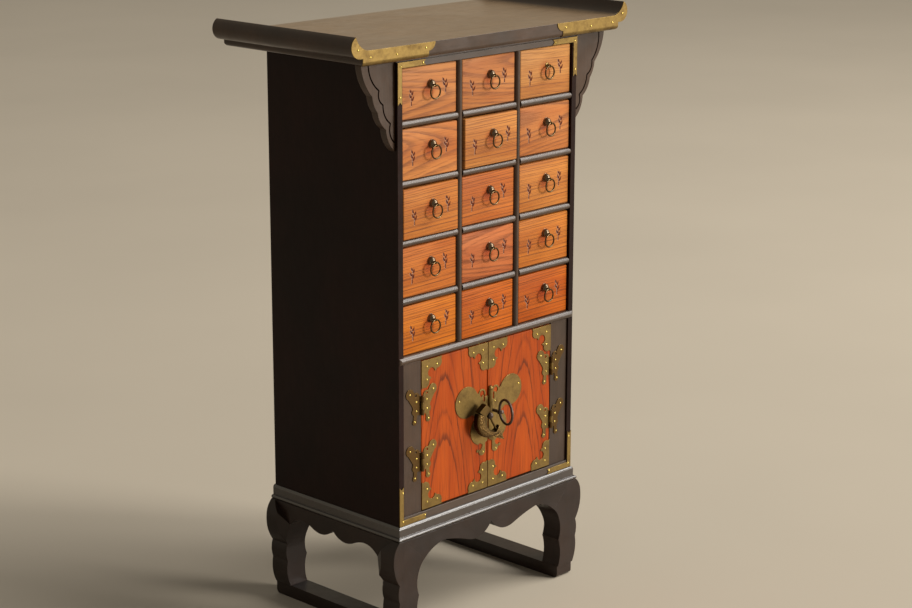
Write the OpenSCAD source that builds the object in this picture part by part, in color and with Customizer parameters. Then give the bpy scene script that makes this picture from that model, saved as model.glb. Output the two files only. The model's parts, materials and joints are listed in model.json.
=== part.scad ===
/* [Case] */
// Width of the case over its two side boards
case_w = 356; // [330:1:380]
// Depth of the case from the front frame to its back
case_d = 254; // [240:1:280]
// Thickness of a side board, which shows as the stile of the front frame
side_t = 9; // [8:0.5:11]
// Thickness of the back board
back_t = 6; // [5:0.5:8]
// How far the back board is let in from the back edges of the sides
back_inset = 2; // [1:0.5:3]
// Height of the top rail of the front frame
top_rail_h = 8; // [7:0.5:10]
// Depth of the top rail from front to back
top_rail_d = 22; // [16:1:30]
// Height of the rail between the drawers and the doors
mid_rail_h = 12; // [10:0.5:14]
// How far that rail stands proud of the frame
mid_rail_proud = 2.5; // [1.5:0.5:3]
// Height of the rail and board under the doors
bottom_rail_h = 11; // [10:0.5:13]
// Thickness of the board that closes the case under the top
ceiling_t = 6; // [5:0.5:8]

/* [Drawers] */
// Number of rows of drawers
rows = 5; // [4:1:5]
// Height of one drawer opening
row_open_h = 70; // [66:1:74]
// Height of a rail between two rows
rail_h = 10; // [9:0.5:12]
// Depth of the thick front of such a rail
rail_d = 18; // [14:1:24]
// Thickness of the dust board behind a rail
dust_t = 5; // [4:0.5:6]
// Thickness of the two upright dividers
divider_t = 10; // [9:0.5:12]
// How far the drawer fronts stand behind the frame
drawer_recess = 3.5; // [2.5:0.5:5]
// Gap at each side of a drawer
drawer_side_gap = 0.8; // [0.5:0.1:1.2]
// Gap over a drawer
drawer_top_gap = 1.5; // [1:0.1:2]
// Running gap between a drawer and the board that it slides on
drawer_run_gap = 0.3; // [0.2:0.1:0.5]
// Thickness of a drawer front
front_t = 12; // [10:0.5:14]
// Radius of the eased edges of a drawer front or door
ease_r = 1.5; // [0.8:0.1:2.5]
// Thickness of a drawer's sides and back
drawer_side_t = 6; // [5:0.5:7]
// Thickness of a drawer's bottom
drawer_bottom_t = 4; // [3:0.5:5]
// Space left behind the box of a closed drawer
drawer_back_gap = 16.5; // [8:0.5:40]
// How far a drawer's box is lower than its front
drawer_box_drop = 4; // [2:0.5:8]
// How far the second drawer of the middle column stands out
ajar_far = 5.5; // [0:0.5:8]
// How far the third drawer of the left column stands out
ajar_mid = 4; // [0:0.5:8]
// How far the second drawer of the left column stands out
ajar_near = 2; // [0:0.5:8]

/* [Ring pulls] */
// Height of a pull over the middle of its opening
pull_rise = 8.5; // [4:0.5:12]
// How far a pull sits to the right of the middle of its drawer
pull_shift = 3; // [-4:0.5:4]
// Radius of the dome of a pull
dome_r = 6.2; // [5:0.1:6.5]
// Height of that dome
dome_h = 7.2; // [6.8:0.1:7.6]
// Distance from the drawer front to the eye that holds the ring
eye_out = 9.2; // [9.1:0.1:12]
// Same distance on the one pull that has no dome
bare_eye_out = 5.6; // [5.3:0.1:7]
// Outer radius of the eye
eye_r = 2.4; // [2.2:0.1:2.6]
// Width of the eye along its bore
eye_w = 2; // [1.6:0.1:2.4]
// Radius of the stem that carries the eye
stem_r = 1.1; // [0.9:0.1:1.3]
// Mean radius of the ring
ring_r = 9; // [8.5:0.1:9.2]
// Radius of the ring's wire
ring_wire_r = 1.1; // [0.8:0.05:1.2]

/* [Top] */
// Thickness of the top board
top_t = 19.5; // [17:0.5:22]
// Radius of the rounded lower edges of the top
top_round = 5; // [3:0.5:6]
// Thickness of the layer between the case and the top
under_t = 4.5; // [3:0.5:7]
// How far that layer is set back from the front of the case
under_set = 2; // [1:0.5:4]
// Distance from the case's side to the end of the scroll
top_over_side = 94; // [85:1:100]
// How far the top stands over the front frame
top_over_front = 12.6; // [10:0.2:15]
// How far the top stands over the back of the case
top_over_back = 2; // [1:0.5:5]
// Radius of the scroll at each end
scroll_r = 15; // [13:0.5:16]
// Height of the scroll's centre over the upper face of the top
scroll_rise = 5.2; // [4:0.2:7]
// Radius of the hollow that runs up into the scroll
hollow_r = 24.5; // [22:0.5:27]
// Distance from the scroll's centre to the hollow's centre
hollow_in = 17; // [15:0.5:19]
// Distance from the scroll's centre back to the square edge of the board
scroll_step = 5; // [3:0.5:8]

/* [Brackets] */
// How far a bracket reaches out under the top
bracket_w = 60; // [52:1:66]
// Height of a bracket
bracket_h = 117; // [100:1:130]
// Thickness of a bracket
bracket_t = 11; // [8:0.5:14]
// How far a bracket stands behind the front frame
bracket_set = 5; // [2:0.5:8]
// How far the right one does, which was fitted a little further out
bracket_set_right = 1; // [0.5:0.5:6]
// How far the outer lobes of a bracket swell
bracket_lobe = 3.6; // [2.5:0.2:4.5]

/* [Stand] */
// Height of the stand from the floor to the case
stand_h = 168; // [155:1:180]
// Depth of the stand's frame boards from the case's face inwards
stand_in = 16; // [14:1:20]
// How far the stand stands out behind the case
stand_back = 1.5; // [0:0.5:4]
// How far the upper bead of the stand stands proud
bead_proud = 3.4; // [2:0.2:4]
// Radius of that bead
bead_r = 4.5; // [3.5:0.1:4.6]
// How far the lower bead stands proud
step_proud = 7.2; // [6:0.2:8]
// Radius of the lower bead
step_r = 2.6; // [2:0.1:3]
// Height of the moulded part of the stand
moulding_h = 20; // [18.5:0.5:24]
// How far the legs and aprons lie back from the lower bead
face_set = 0.6; // [0.4:0.1:1.5]
// How far a knee swells sideways beyond the foot of the moulding
knee_swell = 11.5; // [8:0.5:13]
// Height of the knee
knee_h = 63; // [58:1:68]
// Width of a leg at its notches, from the case's side inwards
leg_in = 31; // [29:0.5:33]
// Depth of a leg from its face to its inner side
leg_deep = 32; // [28:0.5:34]
// How far the hollows on the inside of a leg cut in
leg_hollow = 4; // [2:0.2:5]
// How far the small lobes on the outside of a leg swell
leg_lobe = 3; // [2:0.2:3.6]
// Height of a floor runner
runner_h = 18.7; // [16:0.1:22]
// Width of a floor runner inside the case's side
runner_in = 31.5; // [31:0.5:36]
// How far a runner reaches out before the case's front
runner_front = 5; // [3:0.5:6]
// How far the lobes of the front and rear aprons hang
front_lobe = 10.3; // [8:0.1:12]
// Half the width of the two lobes of the front apron
front_lobe_w = 52; // [48:1:60]
// Distance of the front apron's crests from its middle
front_crest_x = 95; // [88:1:102]
// How far the lobes of the side aprons hang
side_lobe = 6.8; // [5:0.1:8]
// Half the width of the two lobes of a side apron
side_lobe_w = 40; // [36:1:44]
// Distance of a side apron's crests from its middle
side_crest_x = 61; // [56:1:66]
// Height of an apron at the notch in its middle
apron_notch_h = 17; // [14:0.5:19]

/* [Doors] */
// Width of the fixed panel beside each door
flank_w = 35.3; // [30:0.5:40]
// Thickness of the doors and of the fixed panels
door_t = 12; // [10:0.5:14]
// How far the doors stand behind the frame
door_recess = 2.5; // [2.3:0.1:3.5]
// Gap between the two doors
door_gap = 1.4; // [1.2:0.1:2]
// Gap at a door's hinge edge, top and bottom
door_edge_gap = 1; // [0.8:0.1:1.5]
// Height of the opening for the doors
door_open_h = 217; // [200:1:230]
// Width of the strip that the doors close on
stop_h = 8; // [6:0.5:10]
// Thickness of that strip
stop_t = 6; // [5:0.5:8]

/* [Door hardware] */
// Thickness of the brass plates
plate_t = 1; // [0.8:0.1:1.2]
// Radius of a hinge knuckle
knuckle_r = 2.6; // [2.4:0.1:2.7]
// Distance from the door's face out to the hinge pin
pin_out = 2.9; // [2.8:0.1:3.2]
// Height of a hinge's three knuckles together
knuckle_h = 27; // [24:1:32]
// Gap between two knuckles
knuckle_gap = 0.3; // [0.2:0.1:0.4]
// Radius of a hinge pin
pin_r = 1.2; // [1:0.1:1.3]
// Running gap round a pin, in radius
pin_gap = 0.06; // [0.04:0.01:0.1]
// Height of the lower hinges over the door's bottom
hinge_low = 71; // [60:1:80]
// Height of the upper hinges over the door's bottom
hinge_high = 152; // [140:1:165]
// Length of the sides of a door's corner plates
corner_plate = 40; // [34:1:44]
// Width of one half of the butterfly lock plate
butterfly_w = 68.1; // [60:0.1:70]
// Radius of the upright bar in the middle of that plate
lock_bar_r = 3.7; // [3:0.1:4]
// Height of the bar over the staples
lock_bar_h = 34; // [30:0.5:36]
// Radius of the knob on the bar
lock_knob_r = 4.2; // [4:0.1:4.8]
// Distance of the butterfly plate's middle from the gap between the doors
butterfly_x = 2; // [1.4:0.1:2.6]
// Height of the two lock staples over the door's bottom
staple_z = 112; // [100:0.5:120]
// Distance of the staples' middle from the gap between the doors
staple_x = 0.5; // [0.2:0.1:1.6]
// Distance between the two lock staples
staple_span = 22; // [21.6:0.2:26]
// Distance from the door's face to the middle of a staple's eye
staple_out = 13.2; // [12:0.1:15]
// Radius of a staple's round head
staple_head_r = 4.9; // [4.6:0.1:5.2]
// Distance from the bore of a staple out to the middle of its head
staple_nose = 1.6; // [1:0.1:2]
// Radius of a staple's shank
staple_r = 2.4; // [2:0.1:2.6]
// Running gap round the shank and the bar, in radius
staple_gap = 0.08; // [0.05:0.01:0.1]
// Mean radius of the door ring
door_ring_r = 17.4; // [16:0.2:19]
// Radius of the door ring's wire
door_ring_wire_r = 1.9; // [1.6:0.1:2]
// Angle at which the door ring stands to the left of straight out
door_ring_turn = 16.7; // [0:0.1:25]
// Angle at which it stands up from level, as the bore of its staple slants
door_ring_lift = 14; // [0:1:20]

/* [Fish lock] */
// Angle of the lock's bar from upright
lock_lean = 31; // [20:1:34]
// Radius of the lock's bar
bar_r = 1.5; // [1.3:0.1:1.6]
// Length of the bar below the staple's bore
bar_down = 29.6; // [29.2:0.1:30.4]
// Thickness of the end block
block_t = 9; // [8:0.5:11]
// Radius of the fish's back
back_r = 27; // [26.5:0.1:27.5]
// Radius of the fish's belly
belly_r = 21.6; // [21:0.1:22]
// Greatest thickness of the fish
fish_t = 13; // [11:0.5:14]
// Thickness of the fish's tail
tail_t = 4; // [4:0.5:6]

/* [Brass on the frame] */
// Length of the corner straps along the stiles
strap_up = 56; // [48:1:62]
// Length of the corner straps along the rails
strap_along = 52; // [46:1:58]
// Width of the straps
strap_w = 7.6; // [6.5:0.1:7.8]
// Length of the brass on each end of the top, from the case's side inwards
cap_in = 57; // [50:1:64]
// Width of the lobe at the inner end of that brass
cap_lobe_w = 12; // [8:0.5:14]
// Height of the lobe
cap_lobe_h = 11.2; // [8:0.2:14]

/* [Hidden] */
col_names = ["left", "middle", "right"];
columns = len(col_names);
row_list = [1:rows];
col_list = [0:columns - 1];
drawer_names = [for (r = row_list) for (c = col_list) str("drawer_", r, "_", col_names[c])];
ring_names = [for (r = row_list) for (c = col_list) str("ring_", r, "_", col_names[c])];
carcass_names = [
    "side_boards", "back_board", "ceiling_board", "top_rail", "drawer_shelves", "column_dividers",
    "case_shelves", "flank_panels", "top_board", "scroll_ends", "top_layer", "brackets"
];
stand_names = ["stand_moulding", "aprons", "legs", "runners"];
brass_names = ["top_caps", "corner_straps", "hinge_frame_leaves"];
door_names = [
    "left_door", "left_door_plates", "left_lock_plate", "left_staple", "fish_lock", "fish_lock_bolt",
    "right_door", "right_door_plates", "right_lock_plate", "right_staple", "door_ring"
];

// Hairline between two boards that are glued together
glue = 0.05;
// Clearance of a piece that rests beside another
rest_gap = 0.3;
// Overlap of a cutting tool beyond the face that it cuts
over = 1;
// Number of steps in each bowed stretch of an outline
bow_steps = 10;
// Sides of small round parts
fine = 48;

half_w = case_w / 2;
inner_w = case_w - 2 * side_t;
open_w = (inner_w - (columns - 1) * divider_t) / columns;
col_pitch = open_w + divider_t;
row_pitch = row_open_h + rail_h;
doors_z = stand_h + bottom_rail_h;
mid_rail_z = doors_z + door_open_h;
drawers_z = mid_rail_z + mid_rail_h;
top_rail_z = drawers_z + rows * row_open_h + (rows - 1) * rail_h;
case_top = top_rail_z + top_rail_h;
case_h = case_top - stand_h;
back_y = case_d - back_inset - back_t;
board_top_z = case_top + under_t + top_t;
drawer_box_d = back_y - drawer_recess - front_t - drawer_back_gap;

top_half = half_w + top_over_side;
scroll_x = top_half - scroll_r;
scroll_z = board_top_z + scroll_rise;
slab_half = scroll_x - hollow_in - 2;
top_low = case_top + under_t + glue;
top_edge_x = scroll_x - scroll_step;

leg_top = stand_h - moulding_h;
knee_z = leg_top - knee_h;
notch_z = runner_h + (knee_z - runner_h) * 0.6;
spur_z = runner_h + (knee_z - runner_h) * 0.64;
blend_z = knee_z - 5;
hollow_z = knee_z + knee_h * 0.18;
face_proud = step_proud - face_set;
mitre_out = 6;
front_mitre = 36;
side_mitre = 31;
arch_bow = 4;
stand_reach = step_proud + knee_swell + 2;

door_x = half_w - side_t - flank_w;
door_w = door_x - door_edge_gap - door_gap / 2;
door_bottom = doors_z + door_edge_gap + 0.5;
door_h = door_open_h - 2 * door_edge_gap - 1;
pin_x = door_x - door_edge_gap / 2;
pin_y = door_recess - pin_out;
eye_y = door_recess - staple_out;
staple_height = door_bottom + staple_z;
left_staple_x = staple_x - staple_span / 2;
right_staple_x = staple_x + staple_span / 2;

ring_tilt = [-door_ring_lift, 0, -door_ring_turn];
ring_reach = (door_ring_r + door_ring_r * cos(door_ring_lift)) * cos(door_ring_turn) + door_ring_wire_r;
front_reach = ring_reach - eye_y;
back_reach = case_d + max(top_over_back, stand_back);
centre_shift = (front_reach - back_reach) / 2;

// The fish in its own frame, whose origin is the staple's bore and whose height runs along the bar
back_centre = [-3, -3.2];
belly_centre = [8.6, -9.6];
mid_centre = [0, -9.2];
mid_r = 21.5;
fish_sides = 24;
seam_high = [-15.6, 20.5];
seam_low = [-9.8, 5.7];
seam_gap = [0.25, 0.1];
block_points = [seam_high + seam_gap, [0.8, 21.5], [4.4, 8.9], [-8.2, 6.5], seam_low + seam_gap];
tail_points = [
    [-17, -24.5], [-13, -29.2], [-8.8, -32.8], [-5.4, -38.5], [-2.8, -42.8], [4, -51.6], [4.6, -45], [5.8, -41.2],
    [8.4, -38.4], [4.4, -34], [2.2, -30], [-2.9, -26.6], [-8, -20]
];

lacquer = [0.14, 0.10, 0.08];
tan_wood = [0.78, 0.46, 0.22];
door_wood = [0.70, 0.30, 0.12];
brass = [0.66, 0.54, 0.26];
iron = [0.20, 0.17, 0.15];

// Where a drawer's opening lies, by row from the top and column from the left
function open_x(c) = -inner_w / 2 + open_w / 2 + c * col_pitch;
function open_z(r) = drawers_z + (rows - r) * row_pitch;
function ajar(r, c) = r == 2 && c == 1 ? ajar_far : r == 3 && c == 0 ? ajar_mid : r == 2 && c == 0 ? ajar_near : 0;
function front_y(r, c) = drawer_recess - ajar(r, c);
function is_bare(r, c) = r == 1 && c == columns - 1;
function pull_z(r) = open_z(r) + row_open_h / 2 + pull_rise;
function pull_x(c) = open_x(c) + pull_shift;
function eye_place(r, c) = [pull_x(c), front_y(r, c) - (is_bare(r, c) ? bare_eye_out : eye_out), pull_z(r) - stem_r];

// A stretch from p to q that swells to its right-hand side by sag, without its last point
function bow(p, q, sag) =
    let (along = q - p, across = [along[1], -along[0]] / norm(along))
    [for (i = [0:bow_steps - 1]) let (t = i / bow_steps) p + along * t + across * (sag * 4 * t * (1 - t))];

// A row of such stretches through the points, one sag for each
function bows(points, sags) = [for (i = [0:len(sags) - 1]) each bow(points[i], points[i + 1], sags[i])];

// Places what it holds so that the whole chest is centred over its origin
module placed() {
    translate([0, centre_shift, 0]) children();
}

// Draws its child and a mirrored copy on the other side of the middle
module both_sides() {
    children();
    mirror([1, 0, 0]) children();
}

// Extrudes an outline drawn in width and height from y back to y plus depth
module upright(y, depth) {
    translate([0, y + depth, 0]) rotate([90, 0, 0]) linear_extrude(height = depth) children();
}

// Extrudes a section drawn in depth and height along the width, centred
module lengthwise(length) {
    rotate([90, 0, 90]) linear_extrude(height = length, center = true) children();
}

// A board whose front edges are eased, with its front face at y = 0
module eased_board(w, t, h) {
    intersection() {
        translate([0, 0, h / 2]) lengthwise(w) eased_section(t, h);
        linear_extrude(height = h) rotate(90) eased_section(t, w);
    }
}

// Section of such a board, with two round corners at the front
module eased_section(t, w) {
    translate([ease_r, -w / 2]) square([t - ease_r, w]);
    translate([0, -w / 2 + ease_r]) square([t, w - 2 * ease_r]);
    for (s = [-1, 1])
        translate([ease_r, s * (w / 2 - ease_r)]) circle(r = ease_r, $fn = fine);
}

// The two side boards, whose front edges are the stiles
module side_boards() {
    color(lacquer) placed() both_sides()
        translate([half_w - side_t, 0, stand_h]) cube([side_t, case_d, case_h]);
}

// The back board, let in between the sides
module back_board() {
    color(lacquer) placed()
        translate([-inner_w / 2 + glue, back_y, stand_h]) cube([inner_w - 2 * glue, back_t, case_h]);
}

// The board that closes the case under the top
module ceiling_board() {
    color(lacquer) placed()
        translate([-inner_w / 2 + glue, top_rail_d + glue, case_top - ceiling_t])
            cube([inner_w - 2 * glue, back_y - top_rail_d - 2 * glue, ceiling_t]);
}

// The flat rail at the top of the front frame
module top_rail() {
    color(lacquer) placed()
        translate([-inner_w / 2 + glue, 0, top_rail_z]) cube([inner_w - 2 * glue, top_rail_d, top_rail_h]);
}

// Section of a drawer rail with its round nose and the dust board behind it
module rail_section() {
    nose = rail_h / 2;
    translate([nose, -nose]) circle(r = nose, $fn = fine);
    translate([nose, -rail_h]) square([rail_d - nose, rail_h]);
    translate([rail_d - over, -dust_t]) square([back_y - glue - rail_d + over, dust_t]);
}

// The rails and dust boards between the rows, one for each column
module drawer_shelves() {
    color(lacquer) placed()
        for (r = [1:rows - 1]) for (c = col_list)
            translate([open_x(c), 0, open_z(r)]) lengthwise(open_w - 2 * glue) rail_section();
}

// The two upright dividers, with round front edges
module column_dividers() {
    nose = divider_t / 2;
    low = drawers_z + glue;
    color(lacquer) placed()
        for (c = [0:columns - 2])
            translate([open_x(c) + col_pitch / 2, 0, low]) linear_extrude(height = top_rail_z - low - glue) {
                translate([0, nose]) circle(r = nose, $fn = fine);
                translate([-nose, nose]) square([divider_t, back_y - glue - nose]);
            }
}

// The board over the doors with its round rail, the stop strip and the board under the doors
module case_shelves() {
    nose = mid_rail_h / 2;
    span = inner_w - 2 * glue;
    color(lacquer) placed() {
        translate([0, 0, mid_rail_z]) {
            lengthwise(span) {
                translate([nose - mid_rail_proud, nose]) circle(r = nose, $fn = fine);
                translate([nose - mid_rail_proud, 0]) square([back_y - glue - nose + mid_rail_proud, mid_rail_h]);
            }
            intersection() {
                lengthwise(case_w) translate([nose - mid_rail_proud, nose]) circle(r = nose, $fn = fine);
                linear_extrude(height = mid_rail_h) mid_rail_plan(nose);
            }
        }
        translate([-door_x, door_recess + door_t + rest_gap, mid_rail_z - stop_h])
            cube([2 * door_x, stop_t, stop_h + over]);
        translate([-span / 2, 0, stand_h]) cube([span, back_y - glue, bottom_rail_h]);
    }
}

// Plan of the part of the round rail that runs over the stiles, with round ends
module mid_rail_plan(nose) {
    end = case_w / 2 - nose;
    intersection() {
        union() {
            translate([-end, -mid_rail_proud]) square([2 * end, nose]);
            for (s = [-1, 1])
                translate([s * end, nose - mid_rail_proud]) circle(r = nose, $fn = fine);
        }
        translate([-case_w / 2, -mid_rail_proud - glue]) square([case_w, mid_rail_proud]);
    }
}

// The fixed panels between the stiles and the doors
module flank_panels() {
    color(lacquer) placed() both_sides()
        translate([door_x, door_recess, doors_z + glue])
            cube([flank_w - glue, door_t, door_open_h - 2 * glue]);
}

// Section of the top from front to back, with rounded lower edges
module top_section(high) {
    front = -top_over_front;
    back = case_d + top_over_back;
    translate([front, top_low + top_round]) square([back - front, high - top_low - top_round]);
    translate([front + top_round, top_low]) square([back - front - 2 * top_round, 2 * top_round]);
    for (y = [front + top_round, back - top_round])
        translate([y, top_low + top_round]) circle(r = top_round, $fn = 2 * fine);
}

// The flat middle of the top
module top_board() {
    color(lacquer) placed() lengthwise(2 * slab_half) top_section(board_top_z);
}

// Outline of one end of the top, from the flat board up into the scroll, with a rounded lower edge
module scroll_outline(from_x) {
    difference() {
        union() {
            translate([from_x, top_low]) square([top_edge_x - top_round - from_x, board_top_z - top_low]);
            translate([from_x, top_low + top_round])
                square([top_edge_x - from_x, board_top_z - top_low - top_round]);
            translate([top_edge_x - top_round, top_low + top_round]) circle(r = top_round, $fn = 2 * fine);
            translate([slab_half, scroll_z - scroll_r]) square([scroll_x - slab_half, scroll_r]);
            translate([scroll_x, scroll_z]) circle(r = scroll_r, $fn = 2 * fine);
        }
        translate([scroll_x - hollow_in, board_top_z + hollow_r]) circle(r = hollow_r, $fn = 2 * fine);
        translate([from_x - over, board_top_z])
            square([scroll_x - hollow_in - from_x + over, scroll_r + scroll_rise + over]);
    }
}

// The two scroll ends of the top
module scroll_ends() {
    front = -top_over_front;
    depth = case_d + top_over_front + top_over_back;
    color(lacquer) placed() both_sides() intersection() {
        upright(front, depth) scroll_outline(slab_half + glue);
        lengthwise(2 * top_half) top_section(scroll_z + scroll_r + over);
    }
}

// The layer between the case and the top
module top_layer() {
    color(lacquer) placed()
        translate([-half_w, under_set, case_top + glue]) cube([case_w, case_d - under_set, under_t - glue]);
}

// Right half of a disc, which turns into a ball
module half_disc(r) {
    intersection() {
        circle(r = r, $fn = fine);
        translate([0, -r]) square([r, 2 * r]);
    }
}

// Outline of one bracket, with four lobes along its free edge
module bracket_outline() {
    w = bracket_w;
    h = bracket_h;
    edge = [[w, 0], [0.68 * w, -0.34 * h], [0.52 * w, -0.53 * h], [0.27 * w, -0.735 * h], [0, -h]];
    sags = [-bracket_lobe, -bracket_lobe / 2, -0.8 * bracket_lobe, -bracket_lobe];
    polygon(concat(bows(edge, sags), [[0, -h], [0, under_t], [w, under_t]]));
}

// The scalloped brackets in the corners between the case and the top
module brackets() {
    color(lacquer) placed()
        for (side = [[0, bracket_set_right], [1, bracket_set]])
            mirror([side[0], 0, 0]) translate([half_w + glue, 0, case_top - glue])
                upright(side[1], bracket_t) bracket_outline();
}

// Plan of the front of the stand, cut at 45 degrees at both ends
module front_plan() {
    w = half_w - glue;
    polygon([
        [-w - stand_reach, -stand_reach], [w + stand_reach, -stand_reach],
        [w - stand_in, stand_in], [-w + stand_in, stand_in]
    ]);
}

// Plan of the right side of the stand, square at the back
module side_plan() {
    polygon([
        [half_w - stand_in, stand_in + glue], [half_w + stand_reach, -stand_reach + glue],
        [half_w + stand_reach, case_d + stand_back], [half_w - stand_in, case_d + stand_back]
    ]);
}

// Section of the stand's moulding, two beads one over the other
module moulding_section() {
    translate([bead_r - bead_proud, stand_h - bead_r]) circle(r = bead_r, $fn = fine);
    translate([bead_r - bead_proud, stand_h - 2 * bead_r]) square([stand_in - bead_r + bead_proud, 2 * bead_r]);
    translate([-bead_proud, leg_top + step_r]) square([stand_in + bead_proud, moulding_h - step_r - bead_r]);
    translate([step_r - step_proud, leg_top + step_r]) circle(r = step_r, $fn = fine);
    translate([step_r - step_proud, leg_top]) square([stand_in - step_r + step_proud, 2 * step_r]);
}

// Cuts an upright piece to one of the two plans
module cut_to(low) {
    intersection() {
        children(0);
        translate([0, 0, low]) linear_extrude(height = stand_h - low + over) children(1);
    }
}

// Turns a section or outline that is drawn for the front to the right side
module to_side() {
    translate([half_w, case_d / 2, 0]) rotate(90) children();
}

// The moulded frame that carries the case, with a plain board at the back
module stand_moulding() {
    color(lacquer) placed() translate([0, 0, -glue]) {
        cut_to(leg_top - over) {
            lengthwise(case_w + 2 * stand_reach) moulding_section();
            front_plan();
        }
        both_sides() cut_to(leg_top - over) {
            to_side() lengthwise(case_d + 2 * stand_reach) moulding_section();
            side_plan();
        }
        translate([-half_w + stand_in + glue, case_d - stand_in, leg_top])
            cube([case_w - 2 * stand_in - 2 * glue, stand_in + stand_back, moulding_h]);
    }
}

// Outline of an apron, with two lobes, a notch between them and a slanted joint at each end
module apron_outline(length, lobe_w, lobe, crest_x, run) {
    shoulder = leg_top - 2 * glue;
    end = length / 2 - mitre_out - run - glue;
    notch = leg_top - apron_notch_h;
    edge = [
        [-end, leg_top - run], [-crest_x, notch - 1.5], [-lobe_w, notch - lobe * 1.25], [0, notch],
        [lobe_w, notch - lobe * 1.25], [crest_x, notch - 1.5], [end, leg_top - run]
    ];
    polygon(concat(
        bows(edge, [-arch_bow, -1, lobe, lobe, -1, -arch_bow]),
        [edge[6], [end + run, shoulder], [-end - run, shoulder]]
    ));
}

// The four scalloped aprons of the stand
module aprons() {
    depth = stand_in + face_proud;
    low = leg_top - knee_h;
    color(lacquer) placed() {
        cut_to(low) {
            upright(-face_proud, depth) apron_outline(case_w, front_lobe_w, front_lobe, front_crest_x, front_mitre);
            front_plan();
        }
        both_sides() cut_to(low) {
            to_side() upright(-face_proud, depth)
                apron_outline(case_d, side_lobe_w, side_lobe, side_crest_x, side_mitre);
            side_plan();
        }
        cut_to(low) {
            translate([0, case_d - stand_in, 0]) upright(0, stand_in + stand_back)
                apron_outline(case_w, front_lobe_w, front_lobe, front_crest_x, front_mitre);
            translate([-half_w + stand_in + glue, 0])
                square([case_w - 2 * stand_in - 2 * glue, case_d + stand_back]);
        }
    }
}

// Front view of a leg, measured in from the case's side, with its knee and two lobes
module leg_front() {
    outer = [
        [-face_proud, leg_top - 2 * glue], [-face_proud - knee_swell * 0.94, leg_top - knee_h * 0.36],
        [-face_proud, knee_z], [-face_proud + 0.2, notch_z], [-1, runner_h + glue]
    ];
    inner = [
        [leg_in, runner_h + glue], [leg_in, spur_z], [leg_in, hollow_z],
        [mitre_out + front_mitre, leg_top - front_mitre]
    ];
    polygon(concat(
        bows(outer, [2.6, knee_swell * 0.33, leg_lobe * 0.8, leg_lobe * 1.2]), [outer[4]],
        bows(inner, [-leg_hollow, -leg_hollow * 0.9, -1.5]), [inner[3], [mitre_out, leg_top - 2 * glue]]
    ));
}

// Side view of a leg whose face stands proud of the case by this much
module leg_side(proud) {
    inner = [[leg_deep - proud, blend_z], [mitre_out + side_mitre, leg_top - side_mitre]];
    polygon(concat(
        [[-proud, leg_top - 2 * glue], [-proud, runner_h + glue], [leg_deep - proud, runner_h + glue]],
        bows(inner, [-1.2]), [inner[1], [mitre_out, leg_top - 2 * glue]]
    ));
}

// Plan of a leg, whose swelling runs out towards the apron at its side
module leg_plan(proud) {
    end = mitre_out + side_mitre;
    polygon([
        [-stand_reach, -proud], [-stand_reach, end - 2 * knee_swell], [-face_proud, end],
        [leg_in + front_mitre, end], [leg_in + front_mitre, -proud]
    ]);
}

// One leg, the crossing of its front view, its side view and its plan
module leg(proud) {
    reach = leg_in + front_mitre + stand_reach;
    intersection() {
        upright(-proud, reach) leg_front();
        rotate([90, 0, 90]) translate([0, 0, -stand_reach]) linear_extrude(height = reach) leg_side(proud);
        linear_extrude(height = leg_top) leg_plan(proud);
    }
}

// The four legs of the stand
module legs() {
    color(lacquer) placed() both_sides() {
        translate([-half_w, 0, 0]) leg(face_proud);
        translate([-half_w, case_d, 0]) mirror([0, 1, 0]) leg(stand_back);
    }
}

// The two runners on the floor, from front to back
module runners() {
    round_r = runner_h / 3;
    depth = case_d + runner_front + stand_back;
    color(lacquer) placed() both_sides()
        translate([half_w - runner_in / 2, -runner_front, 0]) lengthwise(runner_in) {
            translate([0, round_r]) square([depth, runner_h - round_r]);
            translate([round_r, 0]) square([depth - 2 * round_r, runner_h]);
            for (y = [round_r, depth - round_r])
                translate([y, round_r]) circle(r = round_r, $fn = fine);
        }
}

// Section of the brass that is bent round the rounded lower edge of the top
module cap_bend() {
    outer = top_round + glue + plate_t;
    intersection() {
        translate([top_round - top_over_front, top_low + top_round]) difference() {
            circle(r = outer, $fn = 2 * fine);
            circle(r = top_round + glue, $fn = 2 * fine);
        }
        translate([top_round - top_over_front - outer, top_low + top_round - outer])
            square([outer, outer + 2 * glue]);
    }
}

// Outline of the flat of the brass on one end of the top, with a round lobe at its inner end
module cap_outline(inner_x, bend_x) {
    intersection() {
        scroll_outline(bend_x);
        translate([bend_x, top_low + top_round]) square([2 * top_half, 2 * top_t]);
    }
    intersection() {
        translate([bend_x, board_top_z]) scale([cap_lobe_w, cap_lobe_h]) circle(r = 1, $fn = 2 * fine);
        translate([inner_x, board_top_z - cap_lobe_h]) square([cap_lobe_w + over, cap_lobe_h]);
    }
}

// The brass on the front of each end of the top
module top_caps() {
    inner_x = half_w - cap_in;
    bend_x = inner_x + cap_lobe_w;
    color(brass) placed() both_sides() {
        upright(-top_over_front - plate_t - glue, plate_t) cap_outline(inner_x, bend_x);
        intersection() {
            translate([(bend_x + top_edge_x) / 2, 0, 0]) lengthwise(top_edge_x - bend_x) cap_bend();
            upright(-2 * top_over_front, 2 * top_over_front)
                offset(delta = plate_t + glue) scroll_outline(bend_x - 2 * plate_t);
        }
    }
}

// Outline of a strap along the width, with a forked end
module strap_bar(length) {
    fork = strap_w / 2;
    polygon([[0, 0], [length, 0], [length - fork, fork], [length, strap_w], [0, strap_w]]);
}

// The four angled straps on the corners of the front frame
module corner_straps() {
    color(brass) placed() both_sides()
        for (s = [-1, 1])
            translate([half_w, 0, s > 0 ? case_top - glue : stand_h + glue]) mirror([1, 0, 0])
                upright(-plate_t - glue, plate_t) mirror([0, s > 0 ? 1 : 0]) {
                    strap_bar(strap_along);
                    translate([strap_w, 0]) rotate(90) strap_bar(strap_up);
                }
}

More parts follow.
